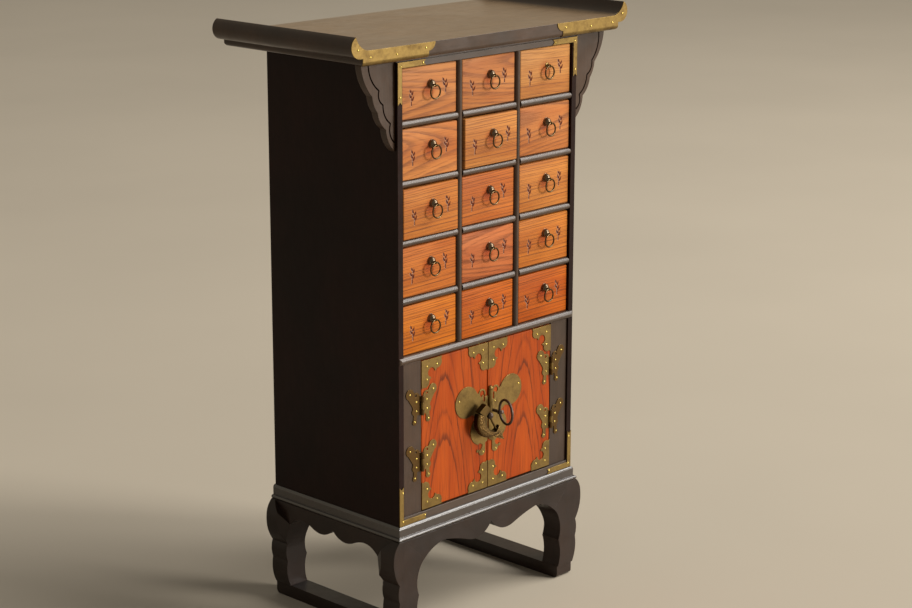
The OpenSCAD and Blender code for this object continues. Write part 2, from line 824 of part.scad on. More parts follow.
// Outline of one hinge leaf, drawn away from its knuckle
module leaf_outline() {
    edge = 3.4;
    difference() {
        union() {
            translate([edge, -13]) square([9, 26]);
            polygon([[8, -8], [8, 12], [18, 26], [28, 16], [17, 0], [15, -12], [16, -24], [10, -24]]);
            translate([22, 19]) circle(r = 7.6, $fn = fine);
            translate([edge + 6.6, 13]) circle(r = 6.4, $fn = fine);
            translate([12.5, -7]) circle(r = 5.6, $fn = fine);
            translate([13, -22]) circle(r = 4.2, $fn = fine);
        }
        translate([edge - 6, -30]) square([6, 60]);
        translate([11, 15.4]) circle(r = 1.7, $fn = fine);
    }
}

// The knuckles of a hinge, counted from the bottom, with a bore for the pin
module knuckles(places, bore) {
    each_h = (knuckle_h - 2 * knuckle_gap) / 3;
    for (i = places)
        translate([0, 0, -knuckle_h / 2 + i * (each_h + knuckle_gap)])
            difference() {
                union() {
                    cylinder(r = knuckle_r, h = each_h, $fn = fine);
                    translate([0, pin_out - plate_t - glue, 0]) cube([4, plate_t, each_h]);
                }
                translate([0, 0, -over]) cylinder(r = bore, h = each_h + 2 * over, $fn = fine);
            }
}

// One hinge leaf with its knuckles, whose pin lies on the upright axis
module hinge_leaf(places, bore) {
    upright(pin_out - plate_t - glue, plate_t) leaf_outline();
    knuckles(places, bore);
}

// Puts its children on the pins of one side's two hinges
module at_hinges() {
    for (h = [hinge_low, hinge_high])
        translate([pin_x, pin_y, door_bottom + h]) children();
}

// The hinge leaves on the fixed panels, with the pins
module hinge_frame_leaves() {
    color(brass) placed() both_sides() at_hinges() {
        hinge_leaf([0, 2], pin_r - 0.1);
        translate([0, 0, -knuckle_h / 2]) cylinder(r = pin_r, h = knuckle_h, $fn = fine);
    }
}

// Outline of a corner plate, with two hooks that face each other
module corner_outline() {
    a = corner_plate;
    lobe = a * 0.2;
    difference() {
        union() {
            square([a * 0.5, a * 0.5]);
            square([a * 0.82, a * 0.3]);
            square([a * 0.3, a * 0.82]);
            translate([a * 0.78, lobe * 0.9]) circle(r = lobe, $fn = fine);
            translate([lobe * 0.9, a * 0.78]) circle(r = lobe, $fn = fine);
            translate([a * 0.62, a * 0.36]) circle(r = lobe * 0.55, $fn = fine);
            translate([a * 0.36, a * 0.62]) circle(r = lobe * 0.55, $fn = fine);
            polygon([[0, a * 0.9], [a * 0.2, a * 0.9], [0, a]]);
            polygon([[a * 0.9, 0], [a, 0], [a * 0.9, a * 0.2]]);
        }
        translate([a * 0.48, a * 0.48]) circle(r = lobe * 0.85, $fn = fine);
        translate([a * 0.48, a * 0.48]) square([a * 0.1, a * 0.1]);
        translate([-a, -a]) square([a, 2 * a]);
        translate([-a, -a]) square([2 * a, a]);
    }
}

// The corner plates and hinge leaves of the right door
module door_plates() {
    inner_x = door_gap / 2;
    outer_x = inner_x + door_w;
    upright(door_recess - plate_t - glue, plate_t) {
        for (up = [0, 1])
            translate([0, door_bottom + up * door_h]) mirror([0, up]) {
                translate([inner_x, 0]) corner_outline();
                translate([outer_x, 0]) mirror([1, 0]) corner_outline();
            }
    }
    at_hinges() mirror([1, 0, 0]) hinge_leaf([1], pin_r + pin_gap);
}

// Brass plates on the right door
module right_door_plates() {
    color(brass) placed() door_plates();
}

// Brass plates on the left door
module left_door_plates() {
    color(brass) placed() mirror([1, 0, 0]) door_plates();
}

// A door's board, with a hole for the shank of its staple
module door_board(staple_x) {
    difference() {
        translate([door_gap / 2 + door_w / 2, door_recess, door_bottom]) eased_board(door_w, door_t, door_h);
        staple_hole(staple_x);
    }
}

// The hole that the shank of a staple goes through
module staple_hole(staple_x) {
    translate([staple_x, door_recess - plate_t - over, staple_height]) rotate([-90, 0, 0])
        cylinder(r = staple_r + staple_gap, h = door_t + plate_t + 2 * over, $fn = fine);
}

// The right door
module right_door() {
    color(door_wood) placed() door_board(right_staple_x);
}

// The left door
module left_door() {
    color(door_wood) placed() mirror([1, 0, 0]) door_board(-left_staple_x);
}

// Outline of half of the butterfly, drawn to the right of its own middle, over the staples' height
module butterfly_outline() {
    drawn_w = 68.1;
    scale(butterfly_w / drawn_w) difference() {
        union() {
            translate([45.3, 23]) circle(r = 22.8, $fn = 2 * fine);
            polygon([[45, 45.8], [24, 32], [12, 24], [0, 20], [0, -20], [22, -5], [34, 2.5], [45, 0.2]]);
            translate([14, 29]) circle(r = 7.3, $fn = fine);
            translate([0, -40]) square([11, 64]);
            translate([15, -23.5]) circle(r = 22, $fn = 2 * fine);
            translate([7.2, -58]) square([5.6, 24]);
            translate([13.6, -55.4]) circle(r = 6.4, $fn = fine);
            translate([22.4, -53.6]) circle(r = 2.3, $fn = fine);
        }
        translate([14, 29.2]) circle(r = 4.6, $fn = fine);
        translate([8.3, 18]) square([2.8, 9]);
        translate([9.7, 18]) circle(r = 1.4, $fn = fine);
        translate([18.6, -48]) circle(r = 5, $fn = fine);
        translate([-1, 24]) square([7.2, 30]);
        translate([-60, -70]) square([60, 140]);
    }
    translate([12.4, 25.6] * butterfly_w / drawn_w) circle(r = 1.6 * butterfly_w / drawn_w, $fn = fine);
}

// The half of the butterfly plate that lies on the right door
module right_lock_plate() {
    color(brass) placed() difference() {
        union() {
            upright(door_recess - plate_t - glue, plate_t) intersection() {
                translate([butterfly_x, staple_height]) butterfly_outline();
                translate([door_gap / 2, 0]) square([top_half, 2 * stand_h + door_h]);
            }
            translate([door_gap / 2 + lock_bar_r, door_recess - plate_t - glue, staple_height]) intersection() {
                union() {
                    cylinder(r = lock_bar_r, h = lock_bar_h, $fn = fine);
                    translate([0, 0, lock_bar_h]) rotate_extrude($fn = fine) half_disc(lock_knob_r);
                }
                translate([-lock_bar_r, -2 * lock_bar_r, -over])
                    cube([2 * lock_bar_r + over, 2 * lock_bar_r, lock_bar_h + 2 * lock_knob_r]);
            }
        }
        staple_hole(right_staple_x);
    }
}

// The half of the butterfly plate that lies on the left door
module left_lock_plate() {
    color(brass) placed() difference() {
        upright(door_recess - plate_t - glue, plate_t) {
            translate([butterfly_x, staple_height]) mirror([1, 0]) intersection() {
                butterfly_outline();
                translate([butterfly_x + door_gap / 2, -2 * door_h]) square([top_half, 4 * door_h]);
            }
        }
        staple_hole(left_staple_x);
    }
}

// A staple with a round head on a shank, the tilted bore through its head at the origin
module staple(bore, tilt, half_h) {
    depth = staple_out + staple_nose + door_t - 2;
    difference() {
        translate([0, -staple_nose, 0]) {
            rotate(tilt) intersection() {
                rotate_extrude($fn = fine) half_disc(staple_head_r);
                translate([0, 0, -half_h]) cylinder(r = 2 * staple_head_r, h = 2 * half_h, $fn = fine);
            }
            rotate([-90, 0, 0]) cylinder(r = staple_r, h = depth, $fn = fine);
        }
        rotate(tilt) cylinder(r = bore, h = 4 * staple_head_r, center = true, $fn = fine);
    }
}

// The staple on the left door, which turns in the door with the lock
module left_staple() {
    color(iron) placed()
        translate([left_staple_x, eye_y, staple_height])
            staple(bar_r + staple_gap, [0, -lock_lean, 0], staple_head_r);
}

// The staple on the right door, which holds the door ring
module right_staple() {
    half_h = staple_head_r / 2;
    sagitta = half_h * half_h / (2 * door_ring_r);
    color(iron) placed()
        translate([right_staple_x, eye_y, staple_height])
            staple(door_ring_wire_r + sagitta + staple_gap, ring_tilt, half_h);
}

// The iron ring of the doors, which stands out on edge
module door_ring() {
    color(iron) placed()
        translate([right_staple_x, eye_y, staple_height]) rotate(ring_tilt)
            translate([0, -door_ring_r, 0]) rotate([0, 90, 0])
                rotate_extrude($fn = 2 * fine) translate([door_ring_r, 0]) circle(r = door_ring_wire_r, $fn = fine);
}

// Puts the lock's own frame, with its bar upright, on the left staple's eye
module at_lock() {
    translate([left_staple_x, eye_y, staple_height]) rotate([0, -lock_lean, 0]) children();
}

// Side view of the fish's body between its back and its belly, behind the seam to the end block
module fish_side() {
    difference() {
        translate(back_centre) circle(r = back_r, $fn = 2 * fine);
        translate(belly_centre) circle(r = belly_r, $fn = 2 * fine);
        polygon([seam_low, seam_low + 3 * (seam_high - seam_low), [3 * back_r, 3 * back_r], [3 * back_r, seam_low[1]]]);
        translate([0, seam_low[1] - 3 * back_r - belly_r]) square(3 * back_r);
    }
}

// Oval section of the fish, out along the radius and across its thickness
module fish_section() {
    half_w = fish_t * 0.92;
    polygon([for (i = [0:fish_sides - 1]) let (a = 360 * i / fish_sides)
        [mid_r + half_w * cos(a), fish_t / 2 * sin(a)]]);
}

// The body of the lock, a curved fish with a forked tail
module fish_lock() {
    color(brass) placed() at_lock() difference() {
        union() {
            intersection() {
                upright(-fish_t / 2, fish_t) fish_side();
                translate([mid_centre[0], 0, mid_centre[1]]) rotate([90, 0, 0])
                    rotate_extrude($fn = 2 * fine) fish_section();
            }
            upright(-tail_t / 2, tail_t) polygon(tail_points);
            translate([0, 0, -bar_down]) cylinder(r = 2.2 * bar_r, h = 3.4, $fn = fine);
        }
        translate([0, 0, -bar_down - rest_gap]) cylinder(r = bar_r + staple_gap, h = bar_down, $fn = fine);
    }
}

// The bolt of the lock, an end block with the straight bar that goes through the staple
module fish_lock_bolt() {
    low = (block_points[1] + block_points[2]) / 2;
    color(brass) placed() at_lock() {
        upright(-block_t / 2, block_t) polygon(block_points);
        translate([0, 0, -bar_down]) cylinder(r = bar_r, h = bar_down + low[1], $fn = fine);
    }
}

// A pull with its dome, stem and eye, at the middle of its base on the drawer front
module pull(bare) {
    out = bare ? bare_eye_out : eye_out;
    if (!bare)
        rotate([90, 0, 0]) rotate_extrude($fn = fine) dome_section();
    difference() {
        union() {
            translate([0, over, 0]) rotate([90, 0, 0]) cylinder(r = stem_r, h = out + over - 1.2, $fn = fine);
            translate([-eye_w / 2, -out, -stem_r]) rotate([0, 90, 0]) cylinder(r = eye_r, h = eye_w, $fn = fine);
        }
        translate([-eye_w, -out, -stem_r]) rotate([0, 90, 0])
            cylinder(r = ring_wire_r + eye_w / 8, h = 2 * eye_w, $fn = fine);
    }
}

// Half section of the dome, from its base on the drawer front to its crown
module dome_section() {
    waist = dome_h - dome_r;
    square([dome_r, waist]);
    translate([0, waist]) intersection() {
        circle(r = dome_r, $fn = fine);
        square(dome_r);
    }
}

// One drawer with its front, its box of thin boards and its pull
module drawer(r, c) {
    w = open_w - 2 * drawer_side_gap;
    h = row_open_h - drawer_top_gap - drawer_run_gap;
    box_h = h - drawer_box_drop;
    side_x = w / 2 - drawer_side_t;
    floor_w = w - 2 * drawer_side_t - 2 * glue;
    box_y = front_t + glue;
    color(tan_wood) placed() translate([open_x(c), front_y(r, c), open_z(r) + drawer_run_gap]) {
        eased_board(w, front_t, h);
        both_sides() translate([side_x, box_y, 0]) cube([drawer_side_t, drawer_box_d, box_h]);
        translate([-floor_w / 2, box_y, 0])
            cube([floor_w, drawer_box_d - drawer_side_t - glue, drawer_bottom_t]);
        translate([-floor_w / 2, box_y + drawer_box_d - drawer_side_t, 0])
            cube([floor_w, drawer_side_t, box_h]);
    }
    color(brass) placed() translate([pull_x(c), front_y(r, c), pull_z(r)]) pull(is_bare(r, c));
}

// The ring that hangs in a pull's eye
module pull_ring(r, c) {
    color(brass) placed() translate(eye_place(r, c) - [0, 0, ring_r]) rotate([90, 0, 0])
        rotate_extrude($fn = 2 * fine) translate([ring_r, 0]) circle(r = ring_wire_r, $fn = fine);
}

for (r = row_list) for (c = col_list) {
    drawer(r, c);
    pull_ring(r, c);
}
side_boards();
back_board();
ceiling_board();
top_rail();
drawer_shelves();
column_dividers();
case_shelves();
flank_panels();
top_board();
scroll_ends();
top_layer();
brackets();
stand_moulding();
aprons();
legs();
runners();
top_caps();
corner_straps();
hinge_frame_leaves();
left_door();
left_door_plates();
left_lock_plate();
left_staple();
fish_lock();
fish_lock_bolt();
right_door();
right_door_plates();
right_lock_plate();
right_staple();
door_ring();
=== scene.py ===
"""Dresses the solids of the apothecary chest in lacquer, wood, brass and iron, and sets up the studio."""

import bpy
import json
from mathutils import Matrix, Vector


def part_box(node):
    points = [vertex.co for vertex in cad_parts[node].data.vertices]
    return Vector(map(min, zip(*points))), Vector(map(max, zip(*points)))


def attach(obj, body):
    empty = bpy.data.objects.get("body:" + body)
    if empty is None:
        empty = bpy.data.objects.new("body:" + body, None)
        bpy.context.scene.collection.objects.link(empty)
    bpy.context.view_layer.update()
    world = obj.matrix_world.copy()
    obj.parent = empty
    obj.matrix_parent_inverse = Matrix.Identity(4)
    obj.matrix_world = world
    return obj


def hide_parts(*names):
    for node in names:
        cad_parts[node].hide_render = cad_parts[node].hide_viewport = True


bl_info = {
    "name": "Apothecary chest",
    "version": (1, 0, 0),
    "blender": (4, 5, 0),
    "location": "3D View > Sidebar > Chest",
    "description": "Woods, lacquer, brass and iron for an apothecary chest on a scalloped stand",
    "category": "Object",
}

import json
import math
import random

import bmesh
import bpy
from bpy.props import FloatProperty, FloatVectorProperty, PointerProperty
from mathutils import Matrix, Vector

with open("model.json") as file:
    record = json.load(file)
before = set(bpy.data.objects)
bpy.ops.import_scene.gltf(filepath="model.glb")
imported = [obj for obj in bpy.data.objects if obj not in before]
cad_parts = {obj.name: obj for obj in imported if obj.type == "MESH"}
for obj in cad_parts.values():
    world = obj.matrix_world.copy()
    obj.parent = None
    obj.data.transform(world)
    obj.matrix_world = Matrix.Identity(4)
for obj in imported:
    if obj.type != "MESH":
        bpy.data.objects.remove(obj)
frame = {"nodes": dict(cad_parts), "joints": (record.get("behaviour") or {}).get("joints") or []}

MM = 0.001
ROWS = 5
COLUMNS = ("left", "middle", "right")

# The case's left front lower corner, from which places on the front are measured in millimetres
CASE_LOW, CASE_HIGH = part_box("side_boards")
CASE_W = (CASE_HIGH.x - CASE_LOW.x) / MM
PLATE_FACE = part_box("left_lock_plate")[0].y
JOINTS = {joint["name"]: joint for joint in frame["joints"]}

FRAME_LEVEL = ("ceiling_board", "top_rail", "drawer_shelves", "case_shelves", "top_layer")
FRAME_UPRIGHT = ("column_dividers", "flank_panels", "brackets")
SIDES = ("side_boards", "back_board")
TOP_BOARDS = ("top_board", "scroll_ends")
STAND_LEVEL = ("aprons", "runners")
BRASS_PLATES = ("left_door_plates", "right_door_plates")
BRIGHT_PLATES = ("top_caps", "corner_straps")
LOCK_PLATES = ("left_lock_plate", "right_lock_plate")
IRON_PARTS = ("left_staple", "right_staple", "door_ring")


class ChestLacquer(bpy.types.PropertyGroup):
    """Colours of the lacquered case, top and stand"""

    frame: FloatVectorProperty(
        name="Front frame", description="Colour of the lacquer on the front frame", subtype="COLOR", size=3,
        min=0, max=1, default=(0.050, 0.029, 0.017),
    )
    # Painted shade: the sides and back carry a far darker copy of the front's lacquer, as they stand in
    # shade.
    side: FloatVectorProperty(
        name="Sides", description="Colour of the lacquer on the sides and the back", subtype="COLOR", size=3,
        min=0, max=1, default=(0.013, 0.0040, 0.0025),
    )
    # Painted reflection: this paler colour goes on the level faces of the top boards, over the frame's dark
    # lacquer.
    top: FloatVectorProperty(
        name="Top", description="Colour of the top board", subtype="COLOR", size=3, min=0, max=1,
        default=(0.31, 0.208, 0.118),
    )
    stand: FloatVectorProperty(
        name="Stand", description="Colour of the legs, aprons and runners", subtype="COLOR", size=3,
        min=0, max=1, default=(0.020, 0.0115, 0.008),
    )
    worn: FloatVectorProperty(
        name="Worn edges", description="Colour of the rubbed edges", subtype="COLOR", size=3, min=0, max=1,
        default=(0.26, 0.17, 0.115),
    )
    ease: FloatProperty(
        name="Eased edges", description="Radius to which sharp edges look eased", subtype="DISTANCE",
        min=0.0002, max=0.003, default=0.0009,
    )


class ChestWood(bpy.types.PropertyGroup):
    """Colours of the drawer fronts and the doors"""

    # Upper and lower drawer colours: the paler upper fronts are partly their boards' own tone and partly a
    # painted sheen.
    drawer_pale: FloatVectorProperty(
        name="Upper drawers", description="Colour of the uppermost drawer fronts", subtype="COLOR", size=3,
        min=0, max=1, default=(0.51, 0.200, 0.064),
    )
    drawer_rich: FloatVectorProperty(
        name="Lower drawers", description="Colour of the lowest drawer fronts", subtype="COLOR", size=3,
        min=0, max=1, default=(0.53, 0.135, 0.012),
    )
    drawer_lines: FloatVectorProperty(
        name="Drawer grain", description="Colour of the grain lines of the drawer fronts", subtype="COLOR",
        size=3, min=0, max=1, default=(0.115, 0.046, 0.025),
    )
    door: FloatVectorProperty(
        name="Doors", description="Colour of the doors between the grain lines", subtype="COLOR", size=3,
        min=0, max=1, default=(0.385, 0.062, 0.006),
    )
    door_lines: FloatVectorProperty(
        name="Door grain", description="Colour of the grain lines of the doors", subtype="COLOR", size=3,
        min=0, max=1, default=(0.085, 0.018, 0.007),
    )
    box: FloatVectorProperty(
        name="Drawer boxes", description="Colour of the plain wood inside", subtype="COLOR", size=3,
        min=0, max=1, default=(0.52, 0.33, 0.17),
    )
    carving: FloatVectorProperty(
        name="Carving", description="Colour at the bottom of the carved sprigs", subtype="COLOR", size=3,
        min=0, max=1, default=(0.115, 0.030, 0.016),
    )
    # Painted highlight: a paler strip along one side of each carved stroke, where a groove's edge would catch
    # the light.
    carving_highlight: FloatVectorProperty(
        name="Carving edges", description="Colour of the rubbed edges of the sprigs", subtype="COLOR",
        size=3, min=0, max=1, default=(0.50, 0.31, 0.21),
    )
    ring_width: FloatProperty(
        name="Ring width", description="Distance between two growth rings", subtype="DISTANCE",
        min=0.001, max=0.01, default=0.0036,
    )


class ChestMetal(bpy.types.PropertyGroup):
    """Colours and sizes of the brass and iron"""

    brass: FloatVectorProperty(
        name="Aged brass", description="Colour of the plates", subtype="COLOR", size=3, min=0, max=1,
        default=(0.21, 0.136, 0.045),
    )
    tarnish: FloatVectorProperty(
        name="Tarnish", description="Colour of the tarnished places", subtype="COLOR", size=3, min=0, max=1,
        default=(0.085, 0.050, 0.020),
    )
    bright: FloatVectorProperty(
        name="Rubbed brass", description="Colour of the brighter brass", subtype="COLOR", size=3,
        min=0, max=1, default=(0.37, 0.258, 0.086),
    )
    nails: FloatVectorProperty(
        name="Nails", description="Colour of the nail heads", subtype="COLOR", size=3, min=0, max=1,
        default=(0.80, 0.62, 0.16),
    )
    ring: FloatVectorProperty(
        name="Rings", description="Colour of the rings of the pulls", subtype="COLOR", size=3, min=0, max=1,
        default=(0.105, 0.070, 0.034),
    )
    bronze: FloatVectorProperty(
        name="Bronze", description="Colour of the domes of the pulls", subtype="COLOR", size=3, min=0, max=1,
        default=(0.20, 0.145, 0.095),
    )
    iron: FloatVectorProperty(
        name="Iron", description="Colour of the staples and the door ring", subtype="COLOR", size=3,
        min=0, max=1, default=(0.070, 0.050, 0.040),
    )
    nail: FloatProperty(
        name="Nail radius", description="Radius of a nail head", subtype="DISTANCE", min=0.0005, max=0.003,
        default=0.0015,
    )


class ChestStage(bpy.types.PropertyGroup):
    """The floor and the lights"""

    floor: FloatVectorProperty(
        name="Floor", description="Colour of the floor", subtype="COLOR", size=3, min=0, max=1,
        default=(0.66, 0.58, 0.455),
    )
    key: FloatProperty(
        name="Key light", description="Strength of the key light", min=0, max=10, default=2.75,
    )
    sky: FloatProperty(
        name="Soft box", description="Power of the overhead soft box", subtype="POWER", min=0, default=370,
    )
    ambient: FloatProperty(
        name="Ambient", description="Strength of the world's light", min=0, max=2, default=0.16,
    )
    backdrop: FloatVectorProperty(
        name="Backdrop", description="Colour seen beyond the floor and in the metal", subtype="COLOR",
        size=3, min=0, max=1, default=(0.34, 0.30, 0.23),
    )


class Graph:
    """A material's node tree, built up by calls that take values or outputs of other nodes"""

    def __init__(self, name):
        self.material = bpy.data.materials.new(name)
        self.material.use_nodes = True
        self.tree = self.material.node_tree
        self.shader = self.tree.nodes["Principled BSDF"]

    def feed(self, socket, value):
        """Sets or links one input."""
        if isinstance(value, bpy.types.NodeSocket):
            self.tree.links.new(value, socket)
        else:
            socket.default_value = value

    def node(self, kind, inputs=None, **settings):
        """Adds a node and returns it."""
        made = self.tree.nodes.new("ShaderNode" + kind)
        for key, value in settings.items():
            setattr(made, key, value)
        for socket, value in (inputs or {}).items():
            self.feed(made.inputs[socket], value)
        return made

    def math(self, operation, first, second=0.0):
        """One step of arithmetic."""
        return self.node("Math", {0: first, 1: second}, operation=operation).outputs[0]

    def place(self, scale=(1, 1, 1), shift=(0, 0, 0)):
        """The surface's place in the chest's frame, scaled and shifted."""
        coordinates = self.node("TexCoord").outputs["Object"]
        return self.node("Mapping", {"Vector": coordinates, "Location": shift, "Scale": scale}).outputs[0]

    def noise(self, vector, scale, detail=3.0, roughness=0.55):
        """A noise between 0 and 1."""
        settings = {"Vector": vector, "Scale": scale, "Detail": detail, "Roughness": roughness}
        return self.node("TexNoise", settings).outputs[0]

    def ramp(self, factor, stops):
        """Grey or coloured stops over a factor."""
        made = self.node("ValToRGB", {0: factor})
        elements = made.color_ramp.elements
        while len(elements) < len(stops):
            elements.new(0.5)
        for element, (position, value) in zip(elements, stops):
            element.position = position
            element.color = (value, value, value, 1) if isinstance(value, (int, float)) else (*value, 1)
        return made.outputs[0]

    def mix(self, factor, first, second, blend="MIX"):
        """Mixes two colours."""
        made = self.node("Mix", data_type="RGBA", blend_type=blend)
        self.feed(made.inputs[0], factor)
        for socket, value in ((6, first), (7, second)):
            self.feed(made.inputs[socket], value if isinstance(value, bpy.types.NodeSocket) else (*value, 1))
        return made.outputs[2]

    def facing(self, axis):
        """How far the surface faces along an axis of the chest, from -1 to 1."""
        return self.node("SeparateXYZ", {0: self.node("TexCoord").outputs["Normal"]}).outputs[axis]

    def eased(self, radius):
        """A normal that rounds sharp edges, and a mask that is 1 on them."""
        soft = self.node("Bevel", {"Radius": radius}, samples=4).outputs[0]
        flat = self.node("NewGeometry").outputs["Normal"]
        agree = self.node("VectorMath", {0: soft, 1: flat}, operation="DOT_PRODUCT").outputs["Value"]
        return soft, self.ramp(agree, [(0.74, 1.0), (0.93, 0.0)])

    def bump(self, height, strength, distance, normal=None):
        """Relief from a height."""
        made = self.node("Bump", {"Height": height, "Strength": strength, "Distance": distance})
        if normal is not None:
            self.feed(made.inputs["Normal"], normal)
        return made.outputs[0]

    def finish(self, **inputs):
        """Feeds the shader, whose inputs are named with underscores."""
        for key, value in inputs.items():
            self.feed(self.shader.inputs[key.replace("_", " ")], value)
        return self.material


def colour(value):
    """A property's colour as a plain tuple."""
    return tuple(value)


def shaded(tone, *factors):
    """A colour times one factor, or times a factor for each channel, kept at 1 or less."""
    each = factors if len(factors) > 1 else factors * 3
    return tuple(min(1.0, c * f) for c, f in zip(tone, each))


def drawn_out(axis, along, across):
    """Scales of a noise that is drawn out along one axis."""
    return tuple(along if i == axis else across for i in range(3))


def lacquer_material(name, shade, worn, ease, grain_axis, gloss=0.5, wear=1.0, satin=(0.28, 0.44), dent=0.25,
                     faded=None, dense=1.5):
    """Lacquer over open grain, clouded, a little dented, rubbed on its edges, with a painted reflection on
    level faces.

    gloss is the level of its reflection, wear how much its edges are rubbed, satin its least and greatest
    roughness, dent the depth of its dents, the next the colour of a painted reflection on level faces
    and dense its refraction."""
    graph = Graph(name)
    grain = graph.noise(graph.place(drawn_out(grain_axis, 3.0, 60.0)), 8.0, 6.0, 0.65)
    cloud = graph.noise(graph.place(), 9.0, 4.0, 0.6)
    clouded = graph.ramp(cloud, [(0.35, 0.0), (0.68, 1.0)])
    base = graph.mix(clouded, shaded(shade, 0.72), shaded(shade, 1.35, 1.2, 1.1))
    # Painted reflection: upward faces are mixed towards a paler colour, as a glossy top mirrors a bright
    # room.
    if faded is not None:
        rise = graph.facing("Z")
        pale = graph.mix(cloud, shaded(faded, 0.85), shaded(faded, 1.12))
        base = graph.mix(graph.ramp(rise, [(0.88, 0.0), (0.995, 1.0)]), base, pale)
    base = graph.mix(graph.ramp(grain, [(0.30, 0.40), (0.56, 0.0)]), base, shaded(shade, 0.35))
    soft, edge = graph.eased(ease)
    patches = graph.ramp(graph.noise(graph.place(), 70.0, 5.0, 0.7), [(0.42, 0.0), (0.66, 0.85 * wear)])
    base = graph.mix(graph.math("MULTIPLY", edge, patches), base, worn)
    scuffs = graph.ramp(graph.noise(graph.place(), 26.0, 6.0, 0.7), [(0.35, satin[0]), (0.70, satin[1])])
    dents = graph.bump(graph.noise(graph.place(), 45.0, 2.0, 0.5), dent, 0.0012, soft)
    return graph.finish(
        Base_Color=base, Roughness=scuffs, Specular_IOR_Level=gloss, IOR=dense,
        Normal=graph.bump(grain, 0.08, 0.0003, dents),
    )


def wood_material(name, light, dark, log, gloss=0.45, contrast=0.85, even=0.35, late=1.0, pull_shadow=None):
    """Ring-porous wood as sawn from a log.

    log holds the axis of the grain, the axis across it, the pith's place along the second, its depth behind
    the board, the taper of the rings, their width, how far they wander and a seed. even is how dark the
    faintest ring is, late how wide the dark part of a ring is, and the last the middle and the reach of a
    painted shadow cast by a pull, a deeper warm red-brown."""
    graph = Graph(name)
    along, across, pith, depth, taper, ring, wander, seed = log
    names = "XYZ"
    sway = graph.place(drawn_out(along, 1.8, 6.0), (seed, seed * 0.7, seed * 0.3))
    swing = graph.noise(sway, 1.6, 2.0, 0.5)
    parts = graph.node("SeparateXYZ", {0: graph.place()})
    offset = graph.math("SUBTRACT", parts.outputs[names[across]], pith)
    offset = graph.math("ADD", offset, graph.math("MULTIPLY", graph.math("SUBTRACT", swing, 0.5), wander))
    reach = graph.math("SQRT", graph.math("ADD", graph.math("MULTIPLY", offset, offset), depth * depth))
    reach = graph.math("ADD", reach, graph.math("MULTIPLY", parts.outputs[names[along]], taper))
    wobble = graph.noise(graph.place(drawn_out(along, 8.0, 130.0), (seed, 0, 0)), 1.0, 3.0, 0.6)
    reach = graph.math("ADD", reach, graph.math("MULTIPLY", wobble, ring * 0.5))
    turns = graph.math("DIVIDE", reach, ring)
    pace = graph.node("TexNoise", {"W": graph.math("MULTIPLY", turns, 0.45), "Scale": 1.0, "Detail": 1.0},
                      noise_dimensions="1D").outputs[0]
    turns = graph.math("ADD", turns, graph.math("MULTIPLY", pace, 2.4))
    phase = graph.math("FRACT", turns)
    count = graph.math("FLOOR", turns)
    weight = graph.node("TexWhiteNoise", {"W": count}, noise_dimensions="1D").outputs["Value"]
    bands = graph.ramp(phase, [(0.0, 0.4), (0.06 * late, 1.0), (0.22 * late, 0.75), (0.42 * late, 0.14),
                               (0.84, 0.04), (1.0, 0.4)])
    bands = graph.math("MULTIPLY", bands, graph.ramp(weight, [(0.0, even), (1.0, 1.0)]))
    pores = graph.noise(graph.place(drawn_out(along, 26.0, 900.0), (0, seed, 0)), 1.0, 2.0, 0.5)
    dashes = graph.math("MULTIPLY", graph.ramp(pores, [(0.48, 0.0), (0.64, 1.0)]),
                        graph.ramp(phase, [(0.0, 0.9), (0.30, 0.8), (0.60, 0.35)]))
    patches = graph.noise(graph.place(drawn_out(along, 5.0, 30.0), (seed, seed, 0)), 1.0, 3.0, 0.55)
    board = graph.mix(graph.ramp(patches, [(0.34, 0.0), (0.66, 1.0)]), shaded(light, 1.12, 1.20, 1.24),
                      shaded(light, 0.84, 0.72, 0.66))
    # Painted shadow of the pull: near it the wood turns a deeper red-brown, fading out over the reach.
    if pull_shadow is not None:
        middle, extent = pull_shadow
        away = graph.node("VectorMath", {0: graph.place(), 1: middle}, operation="DISTANCE")
        near = graph.ramp(graph.math("DIVIDE", away.outputs["Value"], extent), [(0.25, 0.8), (1.0, 0.0)])
        board = graph.mix(near, board, shaded(light, 0.80, 0.40, 0.22))
    base = graph.mix(graph.math("MULTIPLY", bands, contrast), board, dark)
    base = graph.mix(graph.math("MULTIPLY", dashes, 0.45), base, shaded(dark, 0.55))
    soft, edge = graph.eased(0.0012)
    lighter_edge = tuple(min(1.0, c * 1.1 + 0.02) for c in light)
    base = graph.mix(graph.math("MULTIPLY", edge, 0.35), base, lighter_edge)
    shine = graph.math("ADD", graph.math("MULTIPLY", dashes, 0.25), gloss)
    return graph.finish(
        Base_Color=base, Roughness=shine, Specular_IOR_Level=0.12,
        Normal=graph.bump(graph.math("MULTIPLY", dashes, -1.0), 0.35, 0.0003, soft),
    )


